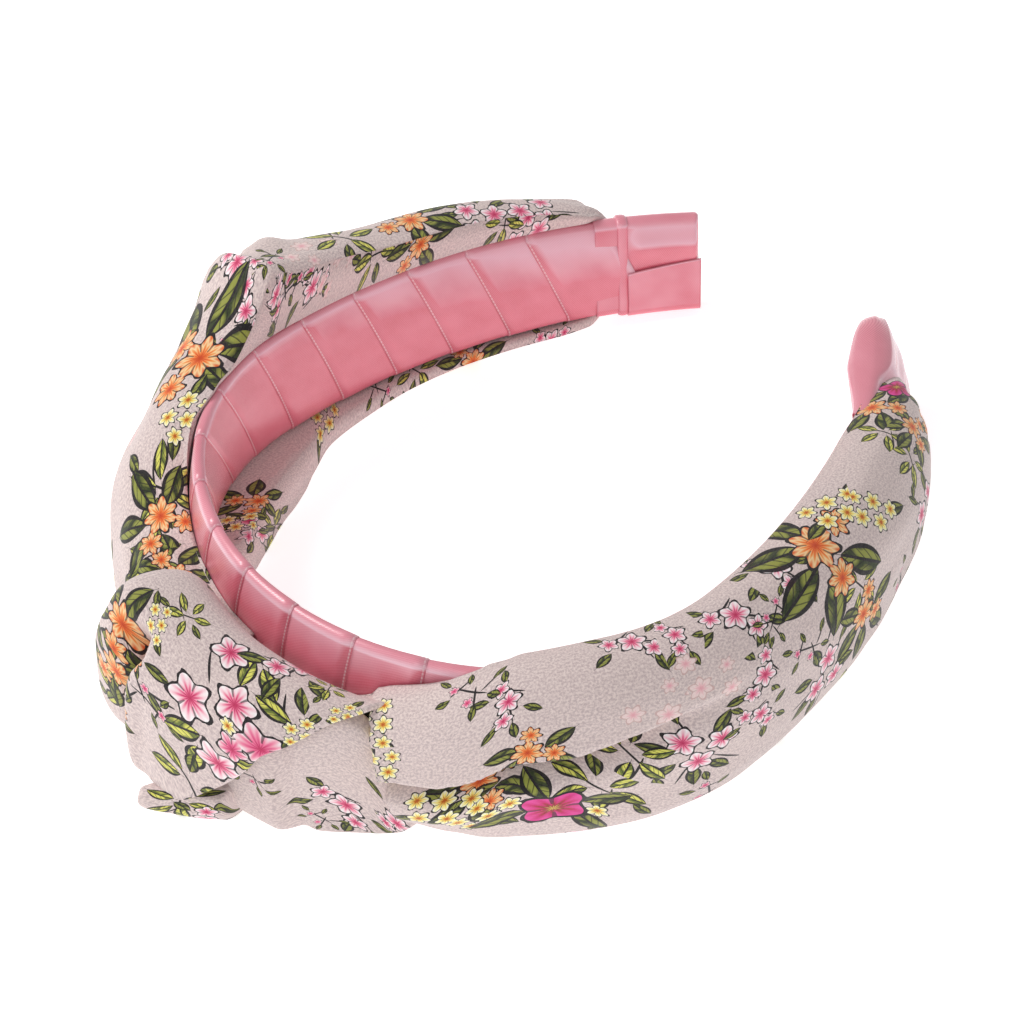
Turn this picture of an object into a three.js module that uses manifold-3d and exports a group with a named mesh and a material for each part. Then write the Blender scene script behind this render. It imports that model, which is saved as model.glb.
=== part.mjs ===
// A knotted headband lying on its side: a domed plastic band wrapped in satin ribbon, with a printed
// crepe sleeve along the outside of each arm, tied at the crown in a broad flat knot.
//
// Millimetres, +Z up, the table at z = 0. The open end of the U points along +Y and the knot along -Y.
// Every piece is drawn in the band's own coordinates (s, n, v) and then bent onto the band:
//   s  length along the band from the middle of the crown, negative on the left arm
//   n  outward from the band's inner face
//   v  across the band's width, from its middle line
import * as THREE from 'three';
import Module from 'manifold-3d';
import { mergeVertices } from 'three/addons/utils/BufferGeometryUtils.js';

const wasm = await Module();
wasm.setup();

// ---- driving dimensions -------------------------------------------------------------------------
const HALF_SPAN = 62; // half the inside width, where the arms begin
const CROWN_DEPTH = 54.5; // from there to the inside of the crown
const ARM_REACH = 94; // from there to the tips
const ARM_CLOSE = 35.5; // how far each tip comes in
const CROWN_WIDTH = 29.2; // ribbon to ribbon
const TIP_WIDTH = 23.4;
const TIP_TWIST = 9; // degrees that the wound band turns over on the way to each tip
const TWIST_FROM = 60;
const TWIST_TO = 165;
const LIE_TILT = 5; // degrees: the knot lifts the crown as the headband lies on its side
const TABLE_DROP = 21.48; // the table below the middle of the crown's plane

const RIBBON = 0.6; // the satin ribbon with its overlap
const GAP = 0.35; // between neighbouring pieces
const CORE_EDGE = 1.0; // thickness of the plastic band at its edges
const CORE_MIDDLE = 2.2; // and down its middle
const BAND_EDGE = CORE_EDGE + 2 * (RIBBON + GAP); // n of the wrapped band's outer face at its edges
const BAND_MIDDLE = CORE_MIDDLE + 2 * (RIBBON + GAP); // and down its middle

const TIP_LENGTH = 17.5; // of the folded ribbon on each tip
const TIP_BULGE = 2.2; // how far the gathered sleeve end lifts that ribbon off the band
const TIP_WALL = 0.7;

const GLUE = 0.7; // thickness of the hot glue beads between cloth and band

// ---- the band's plan and its moving frame ---------------------------------------------------------
const armRadius = (ARM_REACH ** 2 + ARM_CLOSE ** 2) / (2 * ARM_CLOSE);
const armAngle = Math.asin(ARM_REACH / armRadius);
const plan = new THREE.CurvePath();
plan.add(new THREE.EllipseCurve(armRadius - HALF_SPAN, 0, armRadius, armRadius, Math.PI - armAngle, Math.PI));
plan.add(new THREE.EllipseCurve(0, 0, HALF_SPAN, CROWN_DEPTH, Math.PI, 2 * Math.PI));
plan.add(new THREE.EllipseCurve(HALF_SPAN - armRadius, 0, armRadius, armRadius, 0, armAngle));
const HALF_LENGTH = plan.getLength() / 2;

const smooth = (x, from, to) => THREE.MathUtils.smoothstep(x, from, to);
const mix = THREE.MathUtils.lerp;

// Half the wrapped band's width at s.
function halfWidth(s) {
  const taper = Math.cos((Math.PI / 2) * Math.min(1, Math.abs(s) / HALF_LENGTH));
  return mix(TIP_WIDTH, CROWN_WIDTH, taper) / 2;
}

// The band's outer face bulges from its edges to its middle line.
function bandOuter(s, v) {
  const across = Math.min(1, Math.abs(v) / halfWidth(s));
  return mix(BAND_MIDDLE, BAND_EDGE, across * across);
}

// The point at (s, n, v), with the band's plane level and its middle line at z = 0.
function place(s, n, v) {
  const u = THREE.MathUtils.clamp((s + HALF_LENGTH) / (2 * HALF_LENGTH), 0, 1);
  const on = plan.getPoint(u);
  const along = plan.getTangent(THREE.MathUtils.clamp(u, 1e-4, 1 - 1e-4));
  const past = s - (u * 2 - 1) * HALF_LENGTH; // straight on beyond the ends
  const turn = -Math.sign(s) * smooth(Math.abs(s), TWIST_FROM, TWIST_TO) * THREE.MathUtils.degToRad(TIP_TWIST);
  const out = n * Math.cos(turn) + v * Math.sin(turn);
  const up = v * Math.cos(turn) - n * Math.sin(turn);
  return new THREE.Vector3(on.x + along.x * past + along.y * out, on.y + along.y * past - along.x * out, up);
}

// Soft pieces lie on the table: a point that would be under it is lifted straight onto it.
const tilt = THREE.MathUtils.degToRad(LIE_TILT);
function ontoTable(p) {
  const lowest = (-TABLE_DROP + p.y * Math.sin(tilt)) / Math.cos(tilt);
  return p.setZ(Math.max(p.z, lowest));
}

// ---- making solids --------------------------------------------------------------------------------
// Moves every vertex of a geometry: map takes a point and returns where it goes.
function reshape(geometry, map) {
  const at = geometry.getAttribute('position');
  for (let i = 0; i < at.count; i++) {
    const p = map(at.getX(i), at.getY(i), at.getZ(i));
    at.setXYZ(i, p.x, p.y, p.z);
  }
  geometry.deleteAttribute('uv');
  geometry.deleteAttribute('normal');
  const merged = mergeVertices(geometry, 1e-4);
  merged.index.array.reverse(); // n, v and s make a left-handed set, so each face is turned over
  merged.computeVertexNormals();
  return merged;
}

// A block with x, y and z each from 0 to 1, divided as asked, then reshaped.
function block(across, around, along, map) {
  return reshape(new THREE.BoxGeometry(1, 1, 1, across, around, along), (x, y, z) =>
    map(x + 0.5, y + 0.5, z + 0.5));
}

// A ring of unit outer radius, extruded from z = 0 to 1, then reshaped. Its wall is from radius `inner`.
function ring(points, inner, along, map) {
  const outline = new THREE.Shape();
  outline.absarc(0, 0, 1, 0, 2 * Math.PI, false);
  const hole = new THREE.Path();
  hole.absarc(0, 0, inner, 0, 2 * Math.PI, true);
  outline.holes.push(hole);
  const settings = { depth: 1, steps: along, curveSegments: points, bevelEnabled: false };
  return reshape(new THREE.ExtrudeGeometry(outline, settings), map);
}

function toSolid(geometry) {
  return new wasm.Manifold(new wasm.Mesh({
    numProp: 3,
    vertProperties: new Float32Array(geometry.getAttribute('position').array),
    triVerts: new Uint32Array(geometry.index.array),
  }));
}

function fromSolid(solid) {
  const mesh = solid.getMesh();
  const geometry = new THREE.BufferGeometry();
  geometry.setAttribute('position', new THREE.BufferAttribute(new Float32Array(mesh.vertProperties), 3));
  geometry.setIndex(new THREE.BufferAttribute(new Uint32Array(mesh.triVerts), 1));
  geometry.computeVertexNormals();
  return geometry;
}

// The first geometry less all the others, without the small offcuts.
function cut(geometry, ...others) {
  const left = others.reduce((solid, other) => solid.subtract(toSolid(other)), toSolid(geometry));
  const bodies = left.decompose().sort((one, other) => other.volume() - one.volume());
  return fromSolid(bodies[0].simplify(0.02));
}

// A smooth value read from rows [s, a, b, ...]: column k at s.
function read(rows, s, k) {
  const last = rows.length - 1;
  if (s <= rows[0][0]) return rows[0][k];
  if (s >= rows[last][0]) return rows[last][k];
  const i = rows.findIndex((row) => row[0] > s) - 1;
  return mix(rows[i][k], rows[i + 1][k], smooth(s, rows[i][0], rows[i + 1][0]));
}

// ---- materials ------------------------------------------------------------------------------------
const looks = {
  plastic: new THREE.MeshStandardMaterial({ color: 0xe9e6e0, roughness: 0.45, metalness: 0 }),
  satin: new THREE.MeshStandardMaterial({ color: 0xd9788c, roughness: 0.35, metalness: 0 }),
  crepe: new THREE.MeshStandardMaterial({ color: 0xc9b4b4, roughness: 0.85, metalness: 0 }),
  glue: new THREE.MeshStandardMaterial({ color: 0xe8dcb8, roughness: 0.3, metalness: 0 }),
};

function piece(name, geometry, material) {
  const mesh = new THREE.Mesh(geometry, material);
  mesh.name = name;
  return mesh;
}

// ---- the plastic band and its ribbons ---------------------------------------------------------------
const BAND_STEPS = 45; // an odd number, so that one flat facet is centred on the crown
const CORE_END = HALF_LENGTH - TIP_WALL - GAP;
const SPIRAL_END = CORE_END - 4;
const BAND_CHAMFER = 0.35;

// The wrapped band's domed section, drawn `inset` deep inside its surface, from -end to end.
function bandSlab(inset, end) {
  return block(1, 8, BAND_STEPS, (x, y, z) => {
    const s = mix(-end, end, z);
    const half = halfWidth(s) - inset;
    const side = 2 * y - 1;
    const onEdge = Math.abs(side) > 0.99;
    const v = onEdge ? side * half : (side / 0.75) * (half - 2 * BAND_CHAMFER);
    const chamfer = onEdge ? BAND_CHAMFER : 0;
    return place(s, mix(inset + chamfer, bandOuter(s, v) - inset - chamfer, x), v);
  });
}
const bandCore = () => bandSlab(RIBBON + GAP, CORE_END);
const ribbonSpiral = () => cut(bandSlab(0, SPIRAL_END), bandSlab(RIBBON, CORE_END));

// A folded ribbon sock over one tip. `inset` draws the space inside it.
function tipShape(side, inset) {
  const mouth = HALF_LENGTH - TIP_LENGTH;
  return block(4, 8, 5, (x, y, z) => {
    const s = side * mix(mouth - (inset > 0 ? 1 : 0), HALF_LENGTH + 0.6 - inset, side > 0 ? z : 1 - z);
    const toEnd = smooth(Math.abs(s), HALF_LENGTH - 9, HALF_LENGTH + 0.6);
    const half = halfWidth(s) + GAP + TIP_WALL - inset;
    const v = (2 * y - 1) * half;
    const round = Math.sqrt(Math.max(0, 1 - (2 * y - 1) ** 2));
    const inner = -GAP - TIP_WALL + inset;
    const bulge = mix(TIP_BULGE, 0, toEnd) * round;
    const outer = BAND_EDGE + GAP + TIP_WALL - inset + (BAND_MIDDLE - BAND_EDGE) * round + bulge;
    return place(s, mix(inner, outer, x), v);
  });
}
const tipRibbon = (side) => cut(tipShape(side, 0), tipShape(side, TIP_WALL));

// ---- the sleeves ------------------------------------------------------------------------------------
// Rows: s, how far the sleeve stands out, its top, its bottom, and how far it curls in over the band's
// top edge and bottom edge.
const LEFT_ROWS = [
  [-186, 6, 8.5, -8.5, 4.4, 4.4],
  [-177.5, 7.8, 10.5, -10.5, 4.4, 4.4],
  [-170, 10, 16, -13.5, -0.5, -0.8],
  [-150, 12.5, 20.5, -15.5, -0.8, -1.5],
  [-125, 15.5, 24, -17, -0.8, -2.5],
  [-102, 23.5, 30, -19.5, 0, -5],
  [-90, 24.5, 30, -23, 0.5, -9],
  [-75, 22.5, 20, -26, 0.5, -11],
  [-58, 21.5, 12, -26, 4.6, -9],
  [-46, 21, 5, -26, 4.6, 0],
  [-36, 22, 3, -21, 4.6, 4.6],
  [-28, 24, 7, -18, 4.6, 4.6],
  [-9, 25, 7, -16, 4.6, 4.6],
];
const RIGHT_ROWS = [
  [-7, 24, 7, -15, 4.6, 4.6],
  [3, 21.5, 5.5, -14, 4.6, 4.6],
  [12, 16.5, 4, -12, 4.6, 4.6],
  [22, 14.5, 3, -19, 4.6, 4.6],
  [32, 15.5, 8, -25, 4.6, 4.6],
  [48, 16, 17, -25, -1, -1],
  [65, 16.5, 19.5, -24.5, -1.2, -2],
  [90, 17, 19.8, -22.5, -1.2, -2],
  [125, 17.2, 18.6, -20, -1, -2],
  [150, 16.8, 16.6, -17.5, -0.6, -1.5],
  [168, 13.5, 13.6, -15, 2, -1],
  [177.5, 8.2, 10.5, -10.5, 4.4, 4.4],
  [186, 6, 8.5, -8.5, 4.4, 4.4],
];
const SLEEVE_AROUND = 12;
const SLEEVE_ALONG = 26;
const LEAST_LIP = 1.6; // the thinnest that a sleeve gets over the band's edges
const BAND_INSIDE = 1.5; // an n within the band's thickness

// A solid round of cloth along the outside of an arm, to be cut where the band runs through it.
function sleeve(rows, grow = 0) {
  const first = rows[0][0];
  const last = rows[rows.length - 1][0];
  return block(1, SLEEVE_AROUND, SLEEVE_ALONG, (x, y, z) => {
    const s = mix(first - grow, last + grow, z);
    const share = 2 * y - 1; // -1 at the bottom lip, 1 at the top lip
    const angle = 0.62 * Math.PI * share;
    const [out, top, bottom] = [1, 2, 3].map((k) => read(rows, s, k));
    const lip = read(rows, s, share > 0 ? 4 : 5) - grow;
    const edge = halfWidth(s) + GAP;
    const lipAt = share > 0 ? Math.min(edge, top - LEAST_LIP) : Math.max(-edge, bottom + LEAST_LIP);
    if (x < 0.5) {
      const onLip = Math.abs(share) > 0.99;
      return ontoTable(place(s, onLip ? lip : BAND_INSIDE, onLip ? lipAt : Math.abs(share) * lipAt * 0.9));
    }
    let v = (top + bottom) / 2 + ((top - bottom) / 2 + grow) * Math.sin(angle);
    let n = mix(BAND_MIDDLE, out + grow, Math.max(0, Math.cos(angle)) ** 0.8);
    if (Math.cos(angle) < 0) {
      n = mix(BAND_MIDDLE, lip, Math.cos(angle) / Math.cos(0.62 * Math.PI));
      v = share > 0 ? Math.max(v, lipAt + LEAST_LIP) : Math.min(v, lipAt - LEAST_LIP);
    }
    return ontoTable(place(s, n, v));
  });
}

// ---- the knot ---------------------------------------------------------------------------------------
// Rows: s, how far the knot stands out, its top and its bottom.
const KNOT_ROWS = [
  [-34, 27.5, 6, -21],
  [-20, 30, 12.5, -21],
  [-8, 30, 11.5, -20.5],
  [4, 26, 9.5, -19],
  [14, 20.5, 7, -15],
  [22, 16.5, 4.5, -12],
];
const WRAP_WALL = 2.4;

// The broad turn of cloth that goes round the crossing: wide in front, narrow behind.
function knotWrap(grow = 0) {
  return ring(10, 0.5, 8, (x, y, z) => {
    const angle = Math.atan2(y, x); // 0 is straight outward, a quarter turn is up
    const front = Math.cos(angle);
    const rise = Math.sin(angle);
    const from = -30 + 4 * Math.min(0, front) - 3 * grow; // the ends slant, so they grow by more
    const to = mix(mix(-6, 21, smooth(rise, -0.75, 0.4)), -8, smooth(-front, 0, 0.9)) + 3 * grow;
    const s = mix(from, to, z);
    const [out, top, bottom] = [1, 2, 3].map((k) => read(KNOT_ROWS, s, k));
    const back = BAND_MIDDLE + GLUE + 2 * GAP;
    const deep = Math.hypot(x, y) > 0.75 ? -grow : WRAP_WALL + grow;
    const squared = (c) => Math.sign(c) * Math.abs(c) ** 0.8;
    const n = (back + out) / 2 + ((out - back) / 2 - deep) * squared(front);
    const v = (top + bottom) / 2 + ((top - bottom) / 2 - deep) * squared(rise);
    return ontoTable(place(s, n, v));
  });
}

// The flat fold that comes out from under the wrap, below the right sleeve's start.
function lowerFoldBlock() {
  return block(3, 5, 8, (x, y, z) => {
    const s = mix(-4, 33, z);
    const out = mix(25, 11, smooth(s, -4, 33));
    const top = mix(-8, -12, smooth(s, 0, 30));
    const round = Math.sqrt(Math.max(0, 1 - (1.7 * y - 0.85) ** 2));
    return ontoTable(place(s, mix(BAND_MIDDLE + 1.2, out, x * mix(0.8, 1, round)), mix(-27.5, top, y)));
  });
}

// The rolled end of the cloth, lying on the table under the front of the knot.
function knotTail(grow = 0) {
  return block(4, 4, 6, (x, y, z) => {
    const s = mix(-12 - grow, 5 + grow, z);
    const across = 2 * x - 1;
    const n = 26 + (3.6 + grow) * across - 5 * (z - 0.5);
    const v = -25.3 + (3.2 + grow) * (2 * y - 1) * Math.sqrt(1 - 0.5 * across * across);
    return ontoTable(place(s, n, v));
  });
}

// ---- glue --------------------------------------------------------------------------------------------
// A flattened bead on the band's outer face. `grow` swells it, for cutting room in the cloth.
function glueBead(from, to, low, high, grow = 0) {
  return block(1, 4, 4, (x, y, z) => {
    const s = mix(from - grow, to + grow, z);
    const v = mix(low - grow, high + grow, y);
    return place(s, bandOuter(s, v) + GAP + mix(-grow, GLUE + grow, x), v);
  });
}
const leftBead = (grow) => glueBead(-172, -158, -5, 5, grow);
const rightBead = (grow) => glueBead(158, 172, -5, 5, grow);
const knotBead = (grow) => glueBead(-25, -12, -6, 1, grow);

// ---- putting it together -------------------------------------------------------------------------------
const bandRoom = bandSlab(-GAP, HALF_LENGTH);
const knotRoom = knotWrap(3 * GAP);
const lowerFold = cut(lowerFoldBlock(), knotRoom, sleeve(RIGHT_ROWS, GAP), knotTail(GAP));
const leftSleeve = cut(sleeve(LEFT_ROWS), bandRoom, tipShape(-1, -GAP), knotRoom, leftBead(GAP), knotBead(GAP));
const rightSleeve = cut(sleeve(RIGHT_ROWS), bandRoom, tipShape(1, -GAP), knotRoom, rightBead(GAP));
const headband = new THREE.Group();

const band = new THREE.Group();
band.add(
  piece('band_core', bandCore(), looks.plastic),
  piece('ribbon_spiral', ribbonSpiral(), looks.satin),
  piece('left_tip_ribbon', tipRibbon(-1), looks.satin),
  piece('right_tip_ribbon', tipRibbon(1), looks.satin),
);
const sleeves = new THREE.Group();
sleeves.add(
  piece('left_sleeve', leftSleeve, looks.crepe),
  piece('right_sleeve', rightSleeve, looks.crepe),
  piece('left_sleeve_glue', leftBead(), looks.glue),
  piece('right_sleeve_glue', rightBead(), looks.glue),
);
const knot = new THREE.Group();
knot.add(
  piece('knot_wrap', knotWrap(), looks.crepe),
  piece('knot_lower_fold', lowerFold, looks.crepe),
  piece('knot_tail', knotTail(), looks.crepe),
  piece('knot_glue', knotBead(), looks.glue),
);
headband.add(band, sleeves, knot);

// Lay the headband down: tip the plane of the band, then stand the whole on z = 0 over the origin.
headband.rotation.x = -tilt;
headband.updateMatrixWorld(true);
const room = new THREE.Box3().setFromObject(headband, true);
const middle = room.getCenter(new THREE.Vector3());
headband.position.set(-middle.x, -middle.y, -room.min.z);

export default headband;
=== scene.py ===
"""A knotted headband lying on its side, built around its CAD frame.

Pieces are drawn in the band's own coordinates, as the CAD draws them:
s along the band from the middle of the crown (negative on the left arm), n outward from the band's
inner face, v across the band's width. Those are in millimetres, and place() turns them into metres.
"""

import math
from functools import partial

import bmesh
import bpy
import numpy as np
from bpy.props import FloatProperty, FloatVectorProperty, PointerProperty
from bpy.types import Operator, Panel, PropertyGroup
from mathutils import Matrix, Vector, noise


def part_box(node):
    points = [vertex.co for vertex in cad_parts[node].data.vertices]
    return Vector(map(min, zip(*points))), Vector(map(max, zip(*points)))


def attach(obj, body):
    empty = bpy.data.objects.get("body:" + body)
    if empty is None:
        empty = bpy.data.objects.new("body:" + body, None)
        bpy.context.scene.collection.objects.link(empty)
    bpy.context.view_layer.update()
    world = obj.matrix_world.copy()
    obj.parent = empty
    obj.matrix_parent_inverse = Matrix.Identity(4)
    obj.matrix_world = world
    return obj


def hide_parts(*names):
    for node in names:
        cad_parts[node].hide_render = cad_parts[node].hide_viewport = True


bl_info = {
    "name": "Knotted Headband",
    "version": (1, 0, 0),
    "blender": (4, 5, 0),
    "location": "3D View > Sidebar > Headband",
    "description": "Builds a cloth-covered knotted headband piece by piece around its CAD frame",
    "category": "Object",
}

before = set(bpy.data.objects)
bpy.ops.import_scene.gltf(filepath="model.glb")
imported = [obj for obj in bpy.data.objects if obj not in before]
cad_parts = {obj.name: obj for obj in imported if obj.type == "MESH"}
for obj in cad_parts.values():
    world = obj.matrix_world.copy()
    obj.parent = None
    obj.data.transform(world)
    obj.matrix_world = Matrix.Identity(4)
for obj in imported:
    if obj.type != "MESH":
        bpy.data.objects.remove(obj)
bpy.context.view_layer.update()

MM = 0.001

# The band's plan and section, as in the CAD, in millimetres.
HALF_SPAN = 62.0  # half the inside width, where the arms begin
CROWN_DEPTH = 54.5  # from there to the inside of the crown
ARM_REACH = 94.0  # from there to the tips
ARM_CLOSE = 35.5  # how far each tip comes in
CROWN_WIDTH, TIP_WIDTH = 29.2, 23.4  # of the wound band
TIP_TWIST = math.radians(9)  # how far the wound band turns over on the way to each tip
TWIST_FROM, TWIST_TO = 60.0, 165.0
LIE_TILT = math.radians(5)  # the knot lifts the crown as the headband lies on its side
RIBBON_THICK = 0.6  # the satin ribbon with its overlap
GAP = 0.35  # between neighbouring pieces
CORE_EDGE, CORE_MIDDLE = 1.0, 2.2  # thickness of the plastic band at its edges and down its middle
CORE_CHAMFER = 0.35
CORE_BACK = 1.05  # the plastic band stops this far short of the plan's ends
CORE_STATIONS = 46  # sections along the CAD's band
BAND_EDGE = CORE_EDGE + 2 * (RIBBON_THICK + GAP)  # n of the wound band's outer face at its edges
BAND_MIDDLE = CORE_MIDDLE + 2 * (RIBBON_THICK + GAP)  # and down its middle
TABLE_REST, TABLE_SOFTNESS, TABLE_SINK = 0.15, 0.8, 0.1  # how a soft point is pressed onto the table



# ---- the band's own coordinates ------------------------------------------------------------------


def smooth(x, start, end):
    """0 before start, 1 after end, and an even slope between."""
    t = np.clip((np.asarray(x, float) - start) / (end - start), 0, 1)
    return t * t * (3 - 2 * t)


def mix(a, b, t):
    return a + (b - a) * t


def hump(x, middle, width):
    """A smooth bump: 1 at its middle, and almost nothing two widths away."""
    return np.exp(-(((x - middle) / width) ** 2))


def plan_points():
    """The plan from the left tip, round the crown, to the right tip."""
    radius = (ARM_REACH**2 + ARM_CLOSE**2) / (2 * ARM_CLOSE)
    sweep = math.asin(ARM_REACH / radius)
    centre = radius - HALF_SPAN
    left = np.linspace(math.pi - sweep, math.pi, 600)
    crown = np.linspace(math.pi, 2 * math.pi, 1400)[1:]
    right = np.linspace(0, sweep, 600)[1:]
    x = [centre + radius * np.cos(left), HALF_SPAN * np.cos(crown), -centre + radius * np.cos(right)]
    y = [radius * np.sin(left), CROWN_DEPTH * np.sin(crown), radius * np.sin(right)]
    return np.concatenate(x), np.concatenate(y)


PLAN_X, PLAN_Y = plan_points()
PLAN_S = np.concatenate([[0], np.cumsum(np.hypot(np.diff(PLAN_X), np.diff(PLAN_Y)))])
HALF_LENGTH = PLAN_S[-1] / 2
PLAN_S = PLAN_S - HALF_LENGTH
PLAN_TX = np.gradient(PLAN_X, PLAN_S)
PLAN_TY = np.gradient(PLAN_Y, PLAN_S)


def half_width(s):
    """Half the wound band's width at s."""
    taper = np.cos(math.pi / 2 * np.minimum(1, np.abs(s) / HALF_LENGTH))
    return mix(TIP_WIDTH, CROWN_WIDTH, taper) / 2


def band_outer(s, v):
    """How far out the wound band's domed outer face is."""
    across = np.minimum(1, np.abs(v) / half_width(s))
    return mix(BAND_MIDDLE, BAND_EDGE, across**2)


def level(s, n, v):
    """Millimetres in the band's own plane, before it is laid on the table."""
    s, n, v = np.broadcast_arrays(*[np.asarray(a, float) for a in (s, n, v)])
    inside = np.clip(s, -HALF_LENGTH, HALF_LENGTH)
    tx, ty = np.interp(inside, PLAN_S, PLAN_TX), np.interp(inside, PLAN_S, PLAN_TY)
    size = np.hypot(tx, ty)
    tx, ty = tx / size, ty / size
    turn = -np.sign(s) * smooth(np.abs(s), TWIST_FROM, TWIST_TO) * TIP_TWIST
    out = n * np.cos(turn) + v * np.sin(turn)
    up = v * np.cos(turn) - n * np.sin(turn)
    x = np.interp(inside, PLAN_S, PLAN_X) + tx * (s - inside) + ty * out
    y = np.interp(inside, PLAN_S, PLAN_Y) + ty * (s - inside) - tx * out
    return np.stack([x, y, up], axis=-1)


LAY_DOWN = np.array(Matrix.Rotation(-LIE_TILT, 3, "X"))


def frame_shift():
    """Where the frame puts the middle of the plan: its plastic band's box against the same corners here."""
    inset, chamfer = RIBBON_THICK + GAP, CORE_CHAMFER
    end = HALF_LENGTH - CORE_BACK
    s = np.linspace(-end, end, CORE_STATIONS)[:, None]
    half = half_width(s) - inset
    corners = []
    for side in (-1, 1):
        flat, edge = side * (half - 2 * chamfer), side * half
        for n, v in (
            (inset, flat),
            (band_outer(s, flat) - inset, flat),
            (inset + chamfer, edge),
            (band_outer(s, edge) - inset - chamfer, edge),
        ):
            corners.append(level(s, n, v).reshape(-1, 3))
    return np.array(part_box("band_core")[0]) / MM - (np.concatenate(corners) @ LAY_DOWN.T).min(0)


SHIFT = frame_shift()


def place(s, n, v, soft=False):
    """Metres in the frame. A soft point that would be under the table is pressed flat onto it."""
    p = level(s, n, v) @ LAY_DOWN.T + SHIFT
    if soft:
        above = p[..., 2] - TABLE_REST
        p[..., 2] = TABLE_REST + (above + np.sqrt(above**2 + TABLE_SOFTNESS**2)) / 2 - TABLE_SINK
    return p * MM


# ---- rows of measurements ------------------------------------------------------------------------


def read(rows, s):
    """Every column of rows at each s, on a smooth curve through the rows that never overshoots them."""
    table = np.array(rows, float)
    at, values = table[:, 0], table[:, 1:]
    step = np.diff(at)[:, None]
    grade = np.diff(values, axis=0) / step
    slope = np.zeros_like(values)
    same = grade[:-1] * grade[1:] > 0
    total = np.where(same, grade[:-1] + grade[1:], 1)
    slope[1:-1] = np.where(same, 2 * grade[:-1] * grade[1:] / total, 0)
    s = np.clip(np.asarray(s, float), at[0], at[-1])
    i = np.clip(np.searchsorted(at, s, side="right") - 1, 0, len(at) - 2)
    h = step[i]
    t = ((s - at[i]) / step[i, 0])[:, None]
    return (
        (2 * t**3 - 3 * t**2 + 1) * values[i]
        + (t**3 - 2 * t**2 + t) * h * slope[i]
        + (3 * t**2 - 2 * t**3) * values[i + 1]
        + (t**3 - t**2) * h * slope[i + 1]
    ).T


def rumple(s, g, seed, along=22.0, across=9.0):
    """Soft random wrinkles, about -1 to 1, longer along the band than across it."""
    s, g = np.broadcast_arrays(s, g)
    flat = [
        noise.fractal((a / along, b / across, seed), 0.9, 2.1, 3)
        for a, b in zip(s.ravel().tolist(), g.ravel().tolist())
    ]
    return np.array(flat).reshape(s.shape)


def creases(s, g, lines):
    """Sum of straight folds: each is (s0, g0, s1, g1, width, height), a ridge, or a valley if height < 0."""
    total = np.zeros(np.broadcast(s, g).shape)
    for s0, g0, s1, g1, width, height in lines:
        ds, dg = s1 - s0, g1 - g0
        span = math.hypot(ds, dg)
        along = ((s - s0) * ds + (g - g0) * dg) / span**2
        aside = ((s - s0) * dg - (g - g0) * ds) / span
        ends = smooth(along, -0.15, 0.2) * (1 - smooth(along, 0.8, 1.15))
        total = total + height * ends * hump(aside, 0, width)
    return total


# ---- making meshes -------------------------------------------------------------------------------


def mesh_object(name, points, faces, corner_uv=None, smooth_faces=True):
    """A mesh from points in metres, with the cloth's own flat millimetres as its UVs."""
    mesh = bpy.data.meshes.new(name)
    mesh.from_pydata([tuple(p) for p in points], [], faces)
    if corner_uv is not None:
        layer = mesh.uv_layers.new(name="cloth_mm")
        layer.data.foreach_set("uv", np.array(corner_uv, np.float32).ravel())
    mesh.polygons.foreach_set("use_smooth", [smooth_faces] * len(mesh.polygons))
    mesh.validate()
    obj = bpy.data.objects.new(name, mesh)
    bpy.context.scene.collection.objects.link(obj)
    return obj


def loft(name, grid, u, w, cap=True):
    """A closed tube: grid[i, j] goes round with j. u[i] and w[i, j] are the cloth's flat coordinates, and w
    has one more column than the grid, for the seam."""
    rows, around = grid.shape[:2]
    u = np.broadcast_to(np.asarray(u, float).reshape(rows, -1), (rows, around + 1))
    faces, uv = [], []
    for i in range(rows - 1):
        for j in range(around):
            k = (j + 1) % around
            faces.append((i * around + j, i * around + k, (i + 1) * around + k, (i + 1) * around + j))
            uv += [
                (u[i, j], w[i, j]),
                (u[i, j + 1], w[i, j + 1]),
                (u[i + 1, j + 1], w[i + 1, j + 1]),
                (u[i + 1, j], w[i + 1, j]),
            ]
    points = grid.reshape(-1, 3)
    if cap:
        for row in (0, rows - 1):
            points = np.vstack([points, grid[row].mean(0)])
            for j in range(around):
                a, b = row * around + j, row * around + (j + 1) % around
                faces.append((b, a, len(points) - 1) if row == 0 else (a, b, len(points) - 1))
                uv += [(u[row, j], w[row, j])] * 3
    return mesh_object(name, points, faces, uv)


def outward(obj):
    """Turns every face to look out of the closed mesh."""
    work = bmesh.new()
    work.from_mesh(obj.data)
    bmesh.ops.recalc_face_normals(work, faces=work.faces)
    work.to_mesh(obj.data)
    work.free()
    return obj


def girth(n, v):
    """Running length round each row of a section, with one more column for the way back to the start."""
    step = np.hypot(np.diff(n, axis=1, append=n[:, :1]), np.diff(v, axis=1, append=v[:, :1]))
    return np.concatenate([np.zeros((len(n), 1)), np.cumsum(step, axis=1)], axis=1)


def push_out(n, v, depth):
    """Moves each point of a section along its own outward normal."""
    dn, dv = np.gradient(n, axis=1), np.gradient(v, axis=1)
    size = np.maximum(1e-6, np.hypot(dn, dv))
    return n - dv / size * depth, v + dn / size * depth


def finish_piece(obj, material, nodes):
    obj.data.materials.append(material)
    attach(obj, "root")
    if nodes:
        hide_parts(*nodes)
    return obj


# ---- small helpers for node trees ----------------------------------------------------------------


def fill(tree, node, values):
    """Sets or links a node's inputs, by name or number."""
    for key, value in values.items():
        if isinstance(value, bpy.types.NodeSocket):
            tree.links.new(value, node.inputs[key])
        else:
            node.inputs[key].default_value = value


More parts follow.
